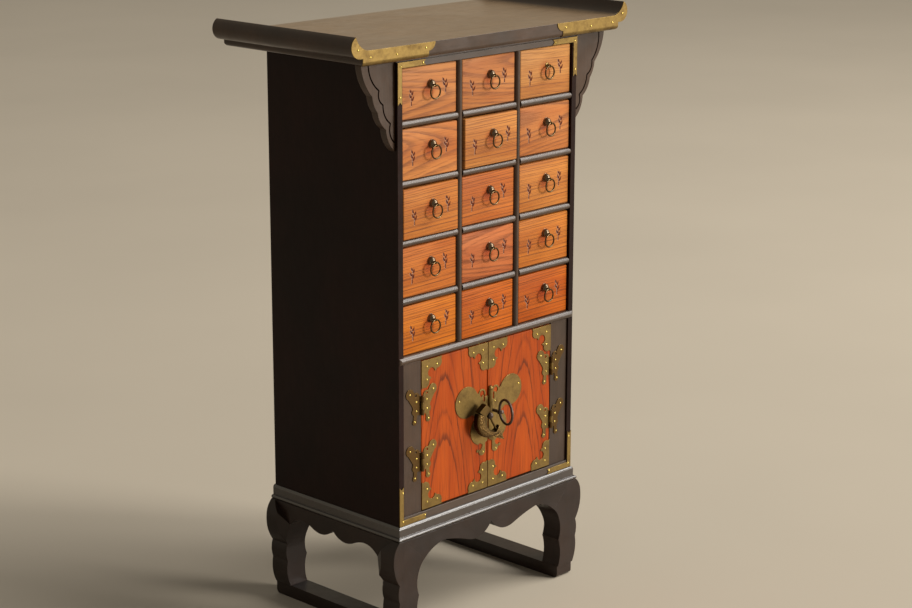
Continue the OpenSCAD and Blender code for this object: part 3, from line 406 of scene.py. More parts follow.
def brass_material(name, metal, bright=0.0, rim=0.0, scales=False):
    """Aged brass, tarnished in patches and rubbed bright on its edges.

    bright is its colour's place between the plates' brass at 0 and the rubbed brass at 1, and rim is how dark
    its faces are painted that turn away from the front, a painted shade."""
    graph = Graph(name)
    clean = tuple(max(0.0, a + (b - a) * bright) for a, b in zip(metal.brass, metal.bright))
    cloud = graph.noise(graph.place(), 60.0, 5.0, 0.65)
    specks = graph.noise(graph.place(), 700.0, 3.0, 0.6)
    tarnished = graph.ramp(cloud, [(0.40 + 0.15 * bright, 0.0), (0.72, 0.85)])
    base = graph.mix(tarnished, clean, colour(metal.tarnish))
    base = graph.mix(graph.ramp(specks, [(0.60, 0.0), (0.75, 0.55)]), base, shaded(metal.tarnish, 0.5))
    soft, edge = graph.eased(0.0006)
    base = graph.mix(graph.math("MULTIPLY", edge, 0.6), base, colour(metal.bright))
    rough = graph.ramp(cloud, [(0.30, 0.34), (0.75, 0.52)])
    relief = graph.bump(graph.noise(graph.place(), 240.0, 4.0, 0.6), 0.22, 0.0004, soft)
    if scales:
        cells = graph.node("TexVoronoi", {"Vector": graph.place(), "Scale": 420.0}).outputs["Distance"]
        relief = graph.bump(cells, 0.8, 0.0009, relief)
    # Painted shade: faces that turn sideways from the front are darkened to a near-black brown.
    if rim:
        turned = graph.ramp(graph.math("ABSOLUTE", graph.facing("Y")), [(0.25, rim), (0.80, 0.0)])
        base = graph.mix(turned, base, shaded(metal.tarnish, 0.10))
    return graph.finish(Base_Color=base, Metallic=1.0, Roughness=rough, Normal=relief)


def plain_metal(name, shade, rough):
    """Clean metal with faint clouds."""
    graph = Graph(name)
    cloud = graph.noise(graph.place(), 400.0, 3.0, 0.6)
    base = graph.mix(graph.ramp(cloud, [(0.35, 0.0), (0.75, 0.6)]), shade, shaded(shade, 0.5))
    relief = graph.bump(cloud, 0.1, 0.0002)
    return graph.finish(Base_Color=base, Metallic=1.0, Roughness=rough, Normal=relief)


def bronze_material(name, metal):
    """Dark bronze, glossy where fingers rub it."""
    graph = Graph(name)
    cloud = graph.noise(graph.place(), 260.0, 4.0, 0.6)
    base = graph.mix(graph.ramp(cloud, [(0.35, 0.0), (0.72, 1.0)]), colour(metal.bronze),
                     shaded(metal.bronze, 0.45))
    rough = graph.ramp(cloud, [(0.30, 0.26), (0.75, 0.40)])
    relief = graph.bump(cloud, 0.2, 0.0003)
    return graph.finish(Base_Color=base, Metallic=1.0, Roughness=rough, Normal=relief)


def iron_material(name, metal):
    """Dark brown iron with a rubbed gloss."""
    graph = Graph(name)
    cloud = graph.noise(graph.place(), 160.0, 5.0, 0.65)
    base = graph.mix(graph.ramp(cloud, [(0.35, 0.0), (0.70, 1.0)]), colour(metal.iron),
                     shaded(metal.iron, 2.1))
    rough = graph.ramp(cloud, [(0.30, 0.30), (0.75, 0.50)])
    relief = graph.bump(cloud, 0.25, 0.0004)
    return graph.finish(Base_Color=base, Metallic=0.75, Roughness=rough, Normal=relief)


def plain_material(name, shade, rough=0.6, vary=0.25, gloss=0.3):
    """A matt colour that varies a little."""
    graph = Graph(name)
    cloud = graph.noise(graph.place(), 90.0, 4.0, 0.6)
    base = graph.mix(graph.ramp(cloud, [(0.30, 0.0), (0.75, 1.0)]), shade, shaded(shade, 1 - vary))
    return graph.finish(Base_Color=base, Roughness=rough, Specular_IOR_Level=gloss)


def coat(node, material):
    """Gives a CAD node its material."""
    piece = frame["nodes"][node]
    piece.data.materials.clear()
    piece.data.materials.append(material)


def make_piece(name, bm, materials, body, smooth=35.0):
    """Turns a bmesh, drawn in the chest's frame, into a piece that rides on a body."""
    mesh = bpy.data.meshes.new(name)
    bmesh.ops.recalc_face_normals(bm, faces=bm.faces)
    bm.to_mesh(mesh)
    bm.free()
    for material in materials:
        mesh.materials.append(material)
    mesh.shade_smooth()
    mesh.set_sharp_from_angle(angle=math.radians(smooth))
    piece = bpy.data.objects.new(name, mesh)
    bpy.context.scene.collection.objects.link(piece)
    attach(piece, body)
    return piece


def on_case(x, z):
    """A place on the front of the case, in millimetres from its left lower corner."""
    return CASE_LOW.x + x * MM, CASE_LOW.z + z * MM


def add_board(bm, low, high, ease, material=0):
    """A board between two corners with eased edges."""
    made = bmesh.ops.create_cube(bm, size=1.0)["verts"]
    size = Vector(high) - Vector(low)
    middle = (Vector(high) + Vector(low)) / 2
    for vert in made:
        vert.co = middle + Vector(vert.co[i] * size[i] for i in range(3))
    edges = {edge for vert in made for edge in vert.link_edges}
    faces = {face for vert in made for face in vert.link_faces}
    result = bmesh.ops.bevel(bm, geom=list(edges), offset=ease, segments=3, profile=0.5, affect="EDGES")
    for face in faces | set(result["faces"]):
        if face.is_valid:
            face.material_index = material


def add_lathe(bm, profile, origin, axis, steps=24, material=0):
    """Turns a profile of (radius, distance along the axis) points around the axis at the origin."""
    turn = Vector((0, 0, 1)).rotation_difference(Vector(axis)).to_matrix()
    rings = []
    for radius, reach in profile:
        if radius < 1e-7:
            rings.append([bm.verts.new(Vector(origin) + turn @ Vector((0, 0, reach)))])
            continue
        rings.append([
            bm.verts.new(Vector(origin) + turn @ Vector((radius * math.cos(a), radius * math.sin(a), reach)))
            for a in (math.tau * i / steps for i in range(steps))
        ])
    for first, second in zip(rings, rings[1:]):
        for i in range(steps):
            j = (i + 1) % steps
            if len(first) == 1:
                corners = (first[0], second[j], second[i])
            elif len(second) == 1:
                corners = (first[i], first[j], second[0])
            else:
                corners = (first[i], first[j], second[j], second[i])
            bm.faces.new(corners).material_index = material


def add_loop(bm, centre, axis, radius, wire, steps=32, sides=12, material=0):
    """A round wire ring."""
    turn = Vector((0, 0, 1)).rotation_difference(Vector(axis)).to_matrix()
    rows = []
    for i in range(steps):
        a = math.tau * i / steps
        out = Vector((math.cos(a), math.sin(a), 0))
        row = []
        for j in range(sides):
            b = math.tau * j / sides
            spot = out * (radius + wire * math.cos(b)) + Vector((0, 0, wire * math.sin(b)))
            row.append(bm.verts.new(Vector(centre) + turn @ spot))
        rows.append(row)
    for i in range(steps):
        for j in range(sides):
            k, n = (i + 1) % steps, (j + 1) % sides
            bm.faces.new((rows[i][j], rows[k][j], rows[k][n], rows[i][n])).material_index = material


def add_ribbon(bm, points, widths, y, material=0):
    """A flat stroke along points (x, z) on an upright face at y, with a width at each point."""
    sides = []
    for i, (x, z) in enumerate(points):
        before, after = points[max(i - 1, 0)], points[min(i + 1, len(points) - 1)]
        run = Vector((after[0] - before[0], after[1] - before[1]))
        across = Vector((-run.y, run.x)).normalized() * widths[i] / 2
        sides.append([bm.verts.new((x + s * across.x, y, z + s * across.y)) for s in (1, -1)])
    for (a, b), (c, d) in zip(sides, sides[1:]):
        bm.faces.new((a, b, d, c)).material_index = material


def dome_profile(radius, height, steps=8):
    """Profile of a low dome with its rim at 0."""
    angles = [math.pi / 2 * i / steps for i in range(steps + 1)]
    return [(radius * math.cos(a), height * math.sin(a)) for a in angles]


class CHEST_OT_lacquer(bpy.types.Operator):
    """Lacquers the case, the top and the stand"""

    bl_idname = "chest.lacquer"
    bl_label = "Lacquer the case"

    def execute(self, context):
        finish = context.scene.chest_lacquer

        def lacquer(name, shade, *rest, **more):
            """One of the lacquers, with the wear that they all share."""
            return lacquer_material(name, colour(shade), colour(finish.worn), finish.ease, *rest, **more)

        finishes = (
            (FRAME_UPRIGHT, lacquer("lacquer_upright", finish.frame, 2, 0.38)),
            (FRAME_LEVEL, lacquer("lacquer_level", finish.frame, 0, 0.75, 0.4, (0.30, 0.38), 0.012)),
            # The sides and back get the darker, painted-shade copy of the lacquer.
            (SIDES, lacquer("lacquer_shaded_side", finish.side, 2, 0.14, 0.5)),
            # The top boards: the frame's lacquer, with the top colour as a painted reflection on their level
            # faces.
            (TOP_BOARDS, lacquer("lacquer_top", finish.frame, 0, 0.45, 0.8, faded=colour(finish.top))),
            (("legs",), lacquer("lacquer_leg", finish.stand, 2, 0.35, 0.6)),
            (STAND_LEVEL, lacquer("lacquer_apron", finish.stand, 0, 0.35, 0.6)),
            (("stand_moulding",),
             lacquer("lacquer_beads", finish.stand, 0, 1.0, 0.25, (0.20, 0.28), 0.03, dense=1.6)),
        )
        for nodes, material in finishes:
            for node in nodes:
                coat(node, material)
        return {"FINISHED"}


class CHEST_OT_bracket_lines(bpy.types.Operator):
    """Cuts the scalloped line that follows the edge of each bracket"""

    bl_idname = "chest.bracket_lines"
    bl_label = "Line the brackets"

    left_cusps = ((-47.5, 643.0), (-28.6, 604.5), (-21.5, 585.0), (-8.2, 559.0), (-0.9, 533.0))
    right_cusps = ((-48.5, 643.0), (-34.8, 600.5), (-24.4, 581.0), (-8.1, 554.2), (-1.3, 534.3))
    sags = (5.5, 3.8, 3.8, 4.5)
    left_set = 4.0
    lift = 0.06 * MM
    width = 2.2
    steps = 10

    def line(self, cusps, mirrored):
        """Points of one line, each lobe bulging out from the case."""
        points = []
        for (x0, z0), (x1, z1), sag in zip(cusps, cusps[1:], self.sags):
            run = Vector((x1 - x0, z1 - z0))
            across = Vector((run.y, -run.x)).normalized()
            for i in range(self.steps + 1):
                t = i / self.steps
                spot = Vector((x0, z0)) + run * t + across * sag * 4 * t * (1 - t)
                points.append(on_case(CASE_W - spot.x if mirrored else spot.x, spot.y))
        return points

    def execute(self, context):
        groove = plain_material("cut_line", (0.006, 0.003, 0.002), 0.8, 0.25, 0.0)
        face_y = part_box("brackets")[0].y - self.lift
        bm = bmesh.new()
        for cusps, mirrored, y in ((self.left_cusps, False, face_y + self.left_set * MM),
                                   (self.right_cusps, True, face_y)):
            points = self.line(cusps, mirrored)
            add_ribbon(bm, points, [self.width * MM] * len(points), y)
        make_piece("bracket_lines", bm, [groove], "case")
        return {"FINISHED"}


class CHEST_OT_drawers(bpy.types.Operator):
    """Builds the drawers with their fronts, boxes, carved sprigs and pulls"""

    bl_idname = "chest.drawers"
    bl_label = "Build the drawers"

    front_t = 12 * MM
    side_t = 6 * MM
    floor_t = 4 * MM
    box_drop = 4 * MM
    front_ease = 1.6 * MM
    depth = 226.05 * MM
    box_ease = 0.4 * MM
    washer_r, washer_t, washer_slope = 3.4 * MM, 0.5 * MM, 0.6 * MM
    foot_r, foot_t, foot_top = 6.2 * MM, 0.5 * MM, 0.8 * MM
    dome_r, dome_h, dome_rise = 5.9 * MM, 6.1 * MM, 1.1 * MM
    stem_r, stem_short = 1.05 * MM, 1.4 * MM
    eye_r, eye_wire, eye_drop = 1.85 * MM, 0.55 * MM, 1.1 * MM
    carve_lift, leaf_lift, edge_set = 0.08 * MM, 0.02 * MM, 0.01 * MM

    # Boards by row and column: the pith's height over the drawer's middle, its depth, taper and ring width
    figured = {
        (1, 0): (-0.006, 0.010, 0.10, 1.9), (1, 1): (0.030, 0.012, -0.09, 1.8),
        (1, 2): (-0.05, 0.02, 0.05, 0.7), (2, 0): (0.004, 0.014, 0.13, 2.0),
        (2, 2): (0.022, 0.016, 0.09, 1.9), (4, 1): (0.010, 0.012, -0.12, 1.9),
    }
    straight = (0.085, 0.030, 0.022, 0.85)
    yellow = ((1, 2), (2, 1), (3, 0), (3, 2), (4, 2), (5, 0))
    orange = ((3, 1), (5, 1), (5, 2))
    red = ((4, 1),)
    # Painted shadow of each pull: its middle sits this far below and left of the ring, and it fades out over
    # this reach.
    pull_shadow_shift = Vector((-3.5, 0.0, -5.5)) * MM
    pull_shadow_reach = 15 * MM

    def wood(self, row, column, context):
        """The board that one front is cut from: its log's place, depth, taper and colour."""
        wood = context.scene.chest_wood
        low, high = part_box(f"drawer_{row}_{COLUMNS[column]}")
        middle = (low.z + high.z) / 2
        shift, deep, taper, width = self.figured.get((row, column), self.straight)
        # Down the rows the colour and grain lines move from the pale to the rich ones: partly the boards'
        # tone, partly a painted sheen strongest on the top row.
        rich = (row - 1) / (ROWS - 1)
        light = tuple(a + (b - a) * rich for a, b in zip(wood.drawer_pale, wood.drawer_rich))
        for places, tint in ((self.yellow, (1.02, 1.10, 0.95)), (self.orange, (0.95, 0.82, 0.70)),
                             (self.red, (0.92, 0.92, 1.70))):
            if (row, column) in places:
                light = shaded(light, *tint)
        lines = shaded(wood.drawer_lines, 1.3 - 0.5 * rich, 1.3 - 0.7 * rich, 1.6 - 1.2 * rich)
        wander = 0.034 if (row, column) in self.figured else 0.011
        log = (0, 2, middle + shift, deep, taper, wood.ring_width * width, wander, 3.1 * row + 7.7 * column)
        contrast = 0.62 if (row, column) in self.figured else 0.95
        eye = Vector(JOINTS[f"ring_{row}_{COLUMNS[column]}_swing"]["pos_m"])
        # The pull's painted shadow, below and left of its ring.
        pull_shadow = (Vector((eye.x, high.y - self.depth, eye.z)) + self.pull_shadow_shift, self.pull_shadow_reach)
        return wood_material(f"drawer_wood_{row}_{COLUMNS[column]}", light, lines, log, contrast=contrast,
                             pull_shadow=pull_shadow)

    def cut(self, bm, points, widths, y):
        """One carved stroke, dark inside, with a painted highlight below it on the left."""
        edge = Vector((-0.70, -0.55)) * MM
        below = [tuple(p + edge) for p in points]
        # The painted highlight: a paler, narrower copy of the stroke, set below it on the left.
        add_ribbon(bm, below, [w * 0.7 * MM for w in widths], y + self.edge_set, 5)
        add_ribbon(bm, [tuple(p) for p in points], [w * MM for w in widths], y, 2)

    def sprigs(self, bm, low, high, front_y, seed):
        """Two carved sprigs, one on each side of the pull."""
        rng = random.Random(seed)
        face_y = front_y - self.carve_lift
        middle = (low.x + high.x) / 2
        base_z = low.z + 31 * MM
        for side, rise in ((-1, -2.5 * MM), (1, 7.5 * MM)):
            lean = rng.uniform(-0.25, 0.25)
            tall = rng.uniform(19, 22) * MM
            foot = Vector((middle + side * rng.uniform(31, 33) * MM, base_z + rise - tall / 2))

            def along(t):
                """A place on the leaning stem, at a share of its height."""
                return foot + Vector((math.sin(lean * t) * tall * t, tall * t))

            self.cut(bm, [along(t) for t in (0, 0.25, 0.5, 0.75, 1.0)], (2.0, 1.8, 1.5, 1.1, 0.2), face_y)
            for n, t in enumerate((0.28, 0.46, 0.64, 0.80)):
                hand = -1 if n % 2 else 1
                start = along(t)
                length = (9.6 - 4.6 * t) * MM
                rise_angle = 0.85 + 0.3 * rng.random()
                tip = start + Vector((hand * length * math.cos(rise_angle), length * math.sin(rise_angle)))
                bend = Vector((hand * 0.5 * MM, -0.6 * MM))
                leaf = [start, start.lerp(tip, 0.35) + bend, start.lerp(tip, 0.7) + bend * 0.7, tip]
                self.cut(bm, leaf, (0.6, 3.1, 2.4, 0.2), face_y - self.leaf_lift)

    def pull(self, bm, x, z, front_y, eye_out, bare):
        """The dome, stem and eye that carry a ring."""
        out = (0, -1, 0)
        base = (x, front_y, z)
        if bare:
            rim, crown_r = self.washer_r, self.washer_r - self.washer_slope
            face = self.washer_t + self.washer_slope / 2
            washer = [(0, 0), (rim, 0), (rim, self.washer_t), (crown_r, face), (0, face)]
            add_lathe(bm, washer, base, out, material=1)
        else:
            foot = [(0, 0), (self.foot_r, 0), (self.foot_r, self.foot_t), (self.dome_r, self.foot_top)]
            crown = [(r, self.dome_rise + h) for r, h in dome_profile(self.dome_r, self.dome_h, 10)]
            add_lathe(bm, foot + crown, base, out, 32, 4)
        tip = eye_out - self.stem_short
        add_lathe(bm, [(0, 0), (self.stem_r, 0), (self.stem_r, tip), (0, tip)], base, out, 12, 1)
        eye = (x, front_y - eye_out, z - self.eye_drop)
        add_loop(bm, eye, (1, 0, 0), self.eye_r, self.eye_wire, 20, 10, 1)

    def execute(self, context):
        wood = context.scene.chest_wood
        metal = context.scene.chest_metal
        brass = brass_material("pull_brass", metal, 0.0)
        bronze = bronze_material("dome_bronze", metal)
        carved = plain_material("carving", colour(wood.carving), 0.75, 0.25, 0.05)
        # The material of the painted highlights beside the carved strokes.
        lighter_edge = plain_material("carving_highlight", colour(wood.carving_highlight), 0.6)
        box = wood_material("drawer_box_wood", colour(wood.box), shaded(wood.box, 0.7),
                            (1, 2, 2.0, 0.2, 0.01, 0.004, 0.03, 5.0), 0.55)
        for row in range(1, ROWS + 1):
            for column, side in enumerate(COLUMNS):
                node = f"drawer_{row}_{side}"
                low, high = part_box(node)
                front_y = high.y - self.depth
                back_y = front_y + self.front_t
                bm = bmesh.new()
                add_board(bm, (low.x, front_y, low.z), (high.x, back_y, high.z), self.front_ease)
                top = high.z - self.box_drop
                left, right, inner_y = low.x + self.side_t, high.x - self.side_t, high.y - self.side_t
                for start, end in (
                    ((low.x, back_y, low.z), (left, high.y, top)),
                    ((right, back_y, low.z), (high.x, high.y, top)),
                    ((left, inner_y, low.z), (right, high.y, top)),
                    ((left, back_y, low.z), (right, inner_y, low.z + self.floor_t)),
                ):
                    add_board(bm, start, end, self.box_ease, 3)
                eye = JOINTS[f"ring_{row}_{side}_swing"]["pos_m"]
                bare = (row, column) == (1, 2)
                self.pull(bm, eye[0], eye[2] + self.eye_drop, front_y, front_y - eye[1], bare)
                self.sprigs(bm, low, high, front_y, 17 * row + column)
                woods = [self.wood(row, column, context), brass, carved, box, bronze, lighter_edge]
                piece = make_piece(f"dressed_{node}", bm, woods, node)
                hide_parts(node)
        ring = plain_metal("ring_brass", colour(metal.ring), 0.27)
        for row in range(1, ROWS + 1):
            for side in COLUMNS:
                coat(f"ring_{row}_{side}", ring)
        return {"FINISHED"}


class CHEST_OT_doors(bpy.types.Operator):
    """Gives the two doors their upright grain"""

    bl_idname = "chest.doors"
    bl_label = "Finish the doors"

    def execute(self, context):
        wood = context.scene.chest_wood
        for node, pith, deep, taper, seed in (("left_door", -0.022, 0.042, 0.10, 4.0),
                                              ("right_door", 0.010, 0.040, 0.11, 9.0)):
            low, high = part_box(node)
            log = (2, 0, (low.x + high.x) / 2 + pith, deep, taper, wood.ring_width * 1.6, 0.040, seed)
            light, lines = colour(wood.door), colour(wood.door_lines)
            coat(node, wood_material(f"{node}_wood", light, lines, log, 0.42, 0.85, 0.0, 0.55))
        return {"FINISHED"}


class CHEST_OT_plates(bpy.types.Operator):
    """Ages the brass plates, the straps, the caps, the hinges and the iron"""

    bl_idname = "chest.plates"
    bl_label = "Age the metal"

    def execute(self, context):
        metal = context.scene.chest_metal
        for nodes, name, bright in (
            (BRASS_PLATES, "plate_brass", 0.12), (BRIGHT_PLATES, "strap_brass", 0.30),
            (LOCK_PLATES, "butterfly_brass", 0.20), (("hinge_frame_leaves",), "leaf_brass", -0.60),
        ):
            brass = brass_material(name, metal, bright)
            for node in nodes:
                coat(node, brass)
        # The bolt gets painted shade on its sideways faces.
        coat("fish_lock_bolt", brass_material("bolt_brass", metal, -0.25, 0.75))
        iron = iron_material("dark_iron", metal)
        for node in IRON_PARTS:
            coat(node, iron)
        return {"FINISHED"}


class CHEST_OT_nails(bpy.types.Operator):
    """Drives the domed nails through the plates"""

    bl_idname = "chest.nails"
    bl_label = "Drive the nails"

    cap_nails = ((-83.0, 664.0), (-61.0, 653.0), (-14.0, 652.0), (39.5, 655.0))
    strap_nails = ((5.2, 632.5), (46.8, 633.6), (4.2, 592.0), (6.0, 6.2), (48.6, 5.4), (5.6, 48.0))
    corner_nails = ((10.0, 9.5), (29.6, 9.5), (10.0, 28.0))
    hinge_rises = (71, 152)
    leaf_nails = ((22.5, 19.0), (10.2, 6.3), (10.2, -6.5), (13.4, -21.5))
    lock_nails = ((119.4, 151.8), (241.5, 152.6), (192.0, 138.0), (168.0, 67.6), (195.0, 66.2))

    def execute(self, context):
        metal = context.scene.chest_metal
        brass = plain_metal("nail_brass", colour(metal.nails), 0.30)
        radius = metal.nail
        nails = {"case": [], "left_door": [], "right_door": []}
        for node, places in (("top_caps", self.cap_nails), ("corner_straps", self.strap_nails)):
            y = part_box(node)[0].y
            for x, z in places:
                for across in (x, CASE_W - x):
                    nails["case"].append((*on_case(across, z), y))
        doors = {name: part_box(name) for name in ("left_door", "right_door")}
        for name, (low, high) in doors.items():
            for x, z in self.corner_nails:
                for place_x in (low.x + x * MM, high.x - x * MM):
                    for place_z in (low.z + z * MM, high.z - z * MM):
                        nails[name].append((place_x, place_z, PLATE_FACE))
        for name, hand in (("left_door", 1), ("right_door", -1)):
            pin_x = JOINTS[name + "_hinge"]["pos_m"][0]
            for hinge_z in (doors[name][0].z + rise * MM for rise in self.hinge_rises):
                for x, z in self.leaf_nails:
                    for body, side in ((name, hand), ("case", -hand)):
                        nails[body].append((pin_x + side * x * MM, hinge_z + z * MM, PLATE_FACE))
        for x, z in self.lock_nails:
            nails["left_door" if x < CASE_W / 2 else "right_door"].append((*on_case(x, z), PLATE_FACE))
        profile = [(0, -0.3 * MM), (radius, -0.3 * MM)] + dome_profile(radius, 0.75 * radius, 5)
        for body, places in nails.items():
            bm = bmesh.new()
            for x, z, y in places:
                add_lathe(bm, profile, (x, y, z), (0, -1, 0), 12)
            make_piece(f"nails_{body}", bm, [brass], body, 60.0)
        return {"FINISHED"}


class CHEST_OT_fish(bpy.types.Operator):
    """Shapes the fish of the padlock, with scales, fins, an eye and a ribbed tail"""

    bl_idname = "chest.fish"
    bl_label = "Shape the fish"

    lean = math.radians(31)
    middle = Vector((0.0, -9.2))
    back = (Vector((-3.0, -3.2)), 27.0)
    belly = (Vector((8.6, -9.6)), 21.6)
    half_thick = 6.4
    rim_round = 0.35
    oval = 0.5
    thinnest = 1.9
    head_angle = 121.0
    tail_angle = 292.0

    def to_circle(self, direction, circle):
        """Distance from the middle to a circle along a direction."""
        offset = circle[0] - self.middle
        lead = direction.dot(offset)
        return lead + math.sqrt(circle[1] ** 2 - offset.length_squared + lead ** 2)

    def world(self, x, y, z):
        """From the lock's own frame, in millimetres, to the chest's."""
        bore = Vector(JOINTS["padlock_swing"]["pos_m"])
        cos, sin = math.cos(self.lean), math.sin(self.lean)
        return bore + Vector((x * cos - z * sin, y, x * sin + z * cos)) * MM

    def body(self, bm):
        """The curved body, as rings along its middle."""
        steps, sides = 40, 28
        rings = []
        for i in range(steps + 1):
            t = i / steps
            angle = math.radians(self.head_angle + (self.tail_angle - self.head_angle) * t)
            direction = Vector((math.cos(angle), math.sin(angle)))
            outer = self.to_circle(direction, self.back)
            half = max((outer - self.to_circle(direction, self.belly)) / 2, self.thinnest)
            centre = outer - half
            thick = self.half_thick * min(1.0, 0.45 + 1.1 * math.sin(math.pi * min(1.0, 0.22 + 0.78 * t)))
            ring = []
            for k in range(sides):
                a = math.tau * k / sides
                cos, sin = (math.copysign(abs(f(a)) ** self.rim_round, f(a)) for f in (math.cos, math.sin))
                flat = direction * (centre + half * cos) + self.middle
                out = thick * sin * math.sqrt(1 - self.oval * cos * cos)
                ring.append(bm.verts.new(self.world(flat.x, out, flat.y)))
            rings.append(ring)
        for first, second in zip(rings, rings[1:]):
            for k in range(sides):
                n = (k + 1) % sides
                bm.faces.new((first[k], first[n], second[n], second[k]))
        bm.faces.new(rings[0])
        bm.faces.new(list(reversed(rings[-1])))

    def tail(self, bm):
        """The forked tail with its ribs."""
        outline = (
            (-2.4, -26.4), (-8.8, -31.4), (-5.4, -38.5), (-2.8, -42.8), (4.0, -51.6), (4.6, -45.0),
            (5.8, -41.2), (8.4, -38.4), (4.4, -34.0), (2.2, -30.0),
        )
        half = 1.6
        sides = [[bm.verts.new(self.world(x, s * half, z)) for x, z in outline] for s in (-1, 1)]
        bm.faces.new(sides[0])
        bm.faces.new(list(reversed(sides[1])))
        for i in range(len(outline)):
            n = (i + 1) % len(outline)
            bm.faces.new((sides[0][i], sides[1][i], sides[1][n], sides[0][n]))
        root = Vector((-2.0, -31.0))
        for tip in ((2.8, -47.5), (0.6, -43.0), (2.8, -40.0), (5.6, -38.6)):
            run = Vector(tip) - root
            across = Vector((-run.y, run.x)).normalized() * 0.35
            end = Vector(tip)
            for s in (-1, 1):
                corners = (root + across, end + across * 0.5, end - across * 0.5, root - across)
                low = [bm.verts.new(self.world(c.x, s * half, c.y)) for c in corners]
                ridge = [bm.verts.new(self.world(c.x, s * (half + 0.5), c.y)) for c in (root, end)]
                bm.faces.new((low[0], low[1], ridge[1], ridge[0]))
                bm.faces.new((low[3], ridge[0], ridge[1], low[2]))

    def execute(self, context):
        metal = context.scene.chest_metal
        # The fish gets painted shade on its sideways faces.
        scaled = brass_material("fish_brass", metal, -0.42, 0.9, True)
        bm = bmesh.new()
        self.body(bm)
        self.tail(bm)
        axis = self.world(0, 0, 1) - self.world(0, 0, 0)
        collar = [(0, 0), (3.3 * MM, 0), (3.6 * MM, 1.2 * MM), (3.3 * MM, 3.4 * MM), (1.7 * MM, 3.4 * MM)]
        add_lathe(bm, collar, self.world(0, 0, -29.6), axis, 20)
        eye_r, eye_h, eye_sunk = 1.6 * MM, 1.0 * MM, 0.5 * MM
        dome = [(0, -eye_sunk), (eye_r, -eye_sunk)] + dome_profile(eye_r, eye_h, 5)
        for s in (-1, 1):
            add_lathe(bm, dome, self.world(-14.6, s * self.half_thick * 0.80, 11.2), (0, s, 0), 16)
        piece = make_piece("dressed_fish", bm, [scaled], "padlock", 50.0)
        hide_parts("fish_lock")
        return {"FINISHED"}


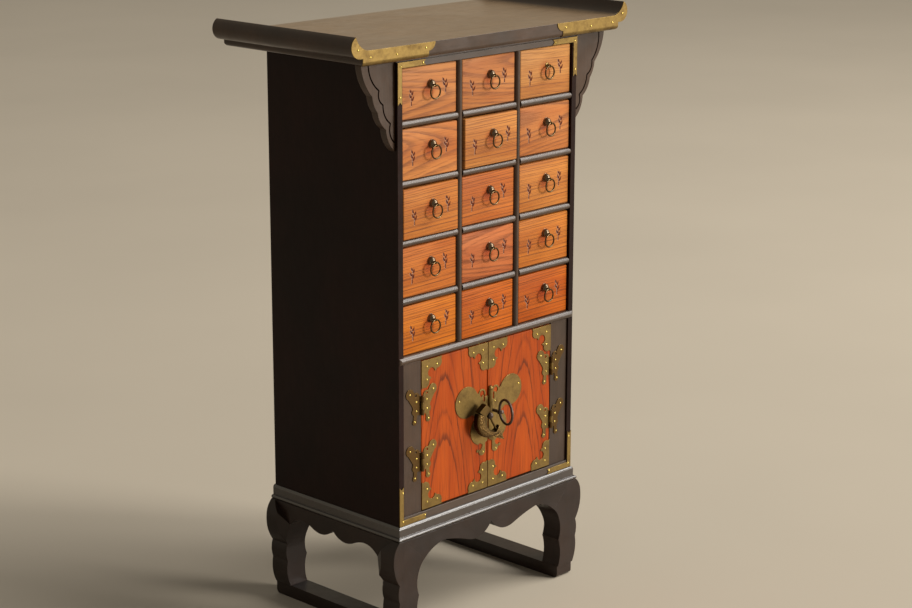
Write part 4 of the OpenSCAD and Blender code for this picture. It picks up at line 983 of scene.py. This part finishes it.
class CHEST_OT_stage(bpy.types.Operator):
    """Lays the floor, hangs the lights and places the camera"""

    bl_idname = "chest.stage"
    bl_label = "Set the stage"

    camera_place = (-2.1325, -2.07645, 1.2210)
    yaw, pitch, roll = math.radians(46.336), math.radians(14.872), math.radians(0.122)
    lens, sensor = 85.23, 36.0
    floor_radius = 26.0
    floor_gap = 0.0002
    target = Vector((0.0, 0.0, 0.42))
    key_place = (3.5, -5.9, 1.75)
    key_spread = math.radians(18)
    sky_place = (4.2, -3.0, 5.0)
    sky_size = 4.4

    def lamp(self, context, light, power, place, tint):
        """Hangs a lamp so that it looks at the middle of the chest."""
        light.energy = power
        light.color = tint
        lamp = bpy.data.objects.new(light.name, light)
        lamp.location = place
        lamp.rotation_euler = (self.target - Vector(place)).to_track_quat("-Z", "Y").to_euler()
        context.scene.collection.objects.link(lamp)

    def lay_floor(self, context, stage):
        """Lays a wide round floor under the chest."""
        bm = bmesh.new()
        bmesh.ops.create_circle(bm, cap_ends=True, segments=96, radius=self.floor_radius)
        mesh = bpy.data.meshes.new("floor")
        bm.to_mesh(mesh)
        bm.free()
        graph = Graph("floor_paper")
        cloud = graph.noise(graph.place(), 1.2, 3.0, 0.5)
        shade = graph.mix(graph.ramp(cloud, [(0.3, 0.0), (0.7, 1.0)]), colour(stage.floor),
                          shaded(stage.floor, 0.95))
        mesh.materials.append(graph.finish(Base_Color=shade, Roughness=0.75))
        floor = bpy.data.objects.new("floor", mesh)
        floor.location.z = -self.floor_gap
        context.scene.collection.objects.link(floor)

    def hang_lights(self, context, stage):
        """Hangs a soft key light and a soft box above the chest."""
        key = bpy.data.lights.new("key", "SUN")
        key.angle = self.key_spread
        self.lamp(context, key, stage.key, self.key_place, (1.0, 0.96, 0.90))
        sky = bpy.data.lights.new("sky", "AREA")
        sky.shape = "SQUARE"
        sky.size = self.sky_size
        self.lamp(context, sky, stage.sky, self.sky_place, (1.0, 0.97, 0.93))

    def paint_world(self, context, stage):
        """Makes a world that lights evenly and shows a backdrop to the camera and to the metal."""
        world = bpy.data.worlds.new("studio")
        world.use_nodes = True
        nodes, links = world.node_tree.nodes, world.node_tree.links
        ambient = nodes["Background"]
        ambient.inputs["Color"].default_value = (1.0, 0.95, 0.88, 1)
        ambient.inputs["Strength"].default_value = stage.ambient
        backdrop = nodes.new("ShaderNodeBackground")
        backdrop.inputs["Color"].default_value = (*stage.backdrop, 1)
        rays = nodes.new("ShaderNodeLightPath")
        shown = rays.outputs["Is Camera Ray"]
        for kind in ("Is Glossy Ray", "Is Transmission Ray"):
            either = nodes.new("ShaderNodeMath")
            either.operation = "MAXIMUM"
            links.new(shown, either.inputs[0])
            links.new(rays.outputs[kind], either.inputs[1])
            shown = either.outputs[0]
        choice = nodes.new("ShaderNodeMixShader")
        links.new(shown, choice.inputs[0])
        links.new(ambient.outputs[0], choice.inputs[1])
        links.new(backdrop.outputs[0], choice.inputs[2])
        links.new(choice.outputs[0], nodes["World Output"].inputs["Surface"])
        context.scene.world = world

    def place_camera(self, context):
        """Places the camera where the photo was taken from."""
        lens = bpy.data.cameras.new("camera")
        lens.lens = self.lens
        lens.sensor_width = self.sensor
        camera = bpy.data.objects.new("camera", lens)
        level = Vector((math.sin(self.yaw), math.cos(self.yaw), 0)) * math.cos(self.pitch)
        forward = level - Vector((0, 0, math.sin(self.pitch)))
        right = Vector((math.cos(self.yaw), -math.sin(self.yaw), 0))
        up = right.cross(forward)
        cos, sin = math.cos(self.roll), math.sin(self.roll)
        turned_right, turned_up = right * cos + up * sin, up * cos - right * sin
        camera.matrix_world = Matrix.Translation(self.camera_place) @ Matrix(
            (turned_right, turned_up, -forward)).transposed().to_4x4()
        context.scene.collection.objects.link(camera)
        context.scene.camera = camera

    def execute(self, context):
        stage = context.scene.chest_stage
        self.lay_floor(context, stage)
        self.hang_lights(context, stage)
        self.paint_world(context, stage)
        self.place_camera(context)
        context.scene.view_settings.view_transform = "Standard"
        return {"FINISHED"}


OPERATORS = (
    CHEST_OT_lacquer, CHEST_OT_bracket_lines, CHEST_OT_drawers, CHEST_OT_doors, CHEST_OT_plates,
    CHEST_OT_nails, CHEST_OT_fish, CHEST_OT_stage,
)
SETTINGS = {"chest_lacquer": ChestLacquer, "chest_wood": ChestWood, "chest_metal": ChestMetal,
            "chest_stage": ChestStage}


class CHEST_PT_panel(bpy.types.Panel):
    """Lists the steps that dress the chest, with their settings"""

    bl_label = "Apothecary chest"
    bl_idname = "CHEST_PT_panel"
    bl_space_type = "VIEW_3D"
    bl_region_type = "UI"
    bl_category = "Chest"

    def draw(self, context):
        for name, group in SETTINGS.items():
            box = self.layout.box()
            for prop in group.__annotations__:
                box.prop(getattr(context.scene, name), prop)
        for operator in OPERATORS:
            self.layout.operator(operator.bl_idname)


CLASSES = (*SETTINGS.values(), *OPERATORS, CHEST_PT_panel)


def register():
    for cls in CLASSES:
        bpy.utils.register_class(cls)
    for name, group in SETTINGS.items():
        setattr(bpy.types.Scene, name, PointerProperty(type=group))


def unregister():
    for name in SETTINGS:
        delattr(bpy.types.Scene, name)
    for cls in reversed(CLASSES):
        bpy.utils.unregister_class(cls)


def main():
    """Dresses the chest step by step."""
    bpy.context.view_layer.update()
    register()
    bpy.ops.chest.lacquer()
    bpy.ops.chest.bracket_lines()
    bpy.ops.chest.drawers()
    bpy.ops.chest.doors()
    bpy.ops.chest.plates()
    bpy.ops.chest.nails()
    bpy.ops.chest.fish()
    bpy.ops.chest.stage()


if __name__ == "__main__":
    main()
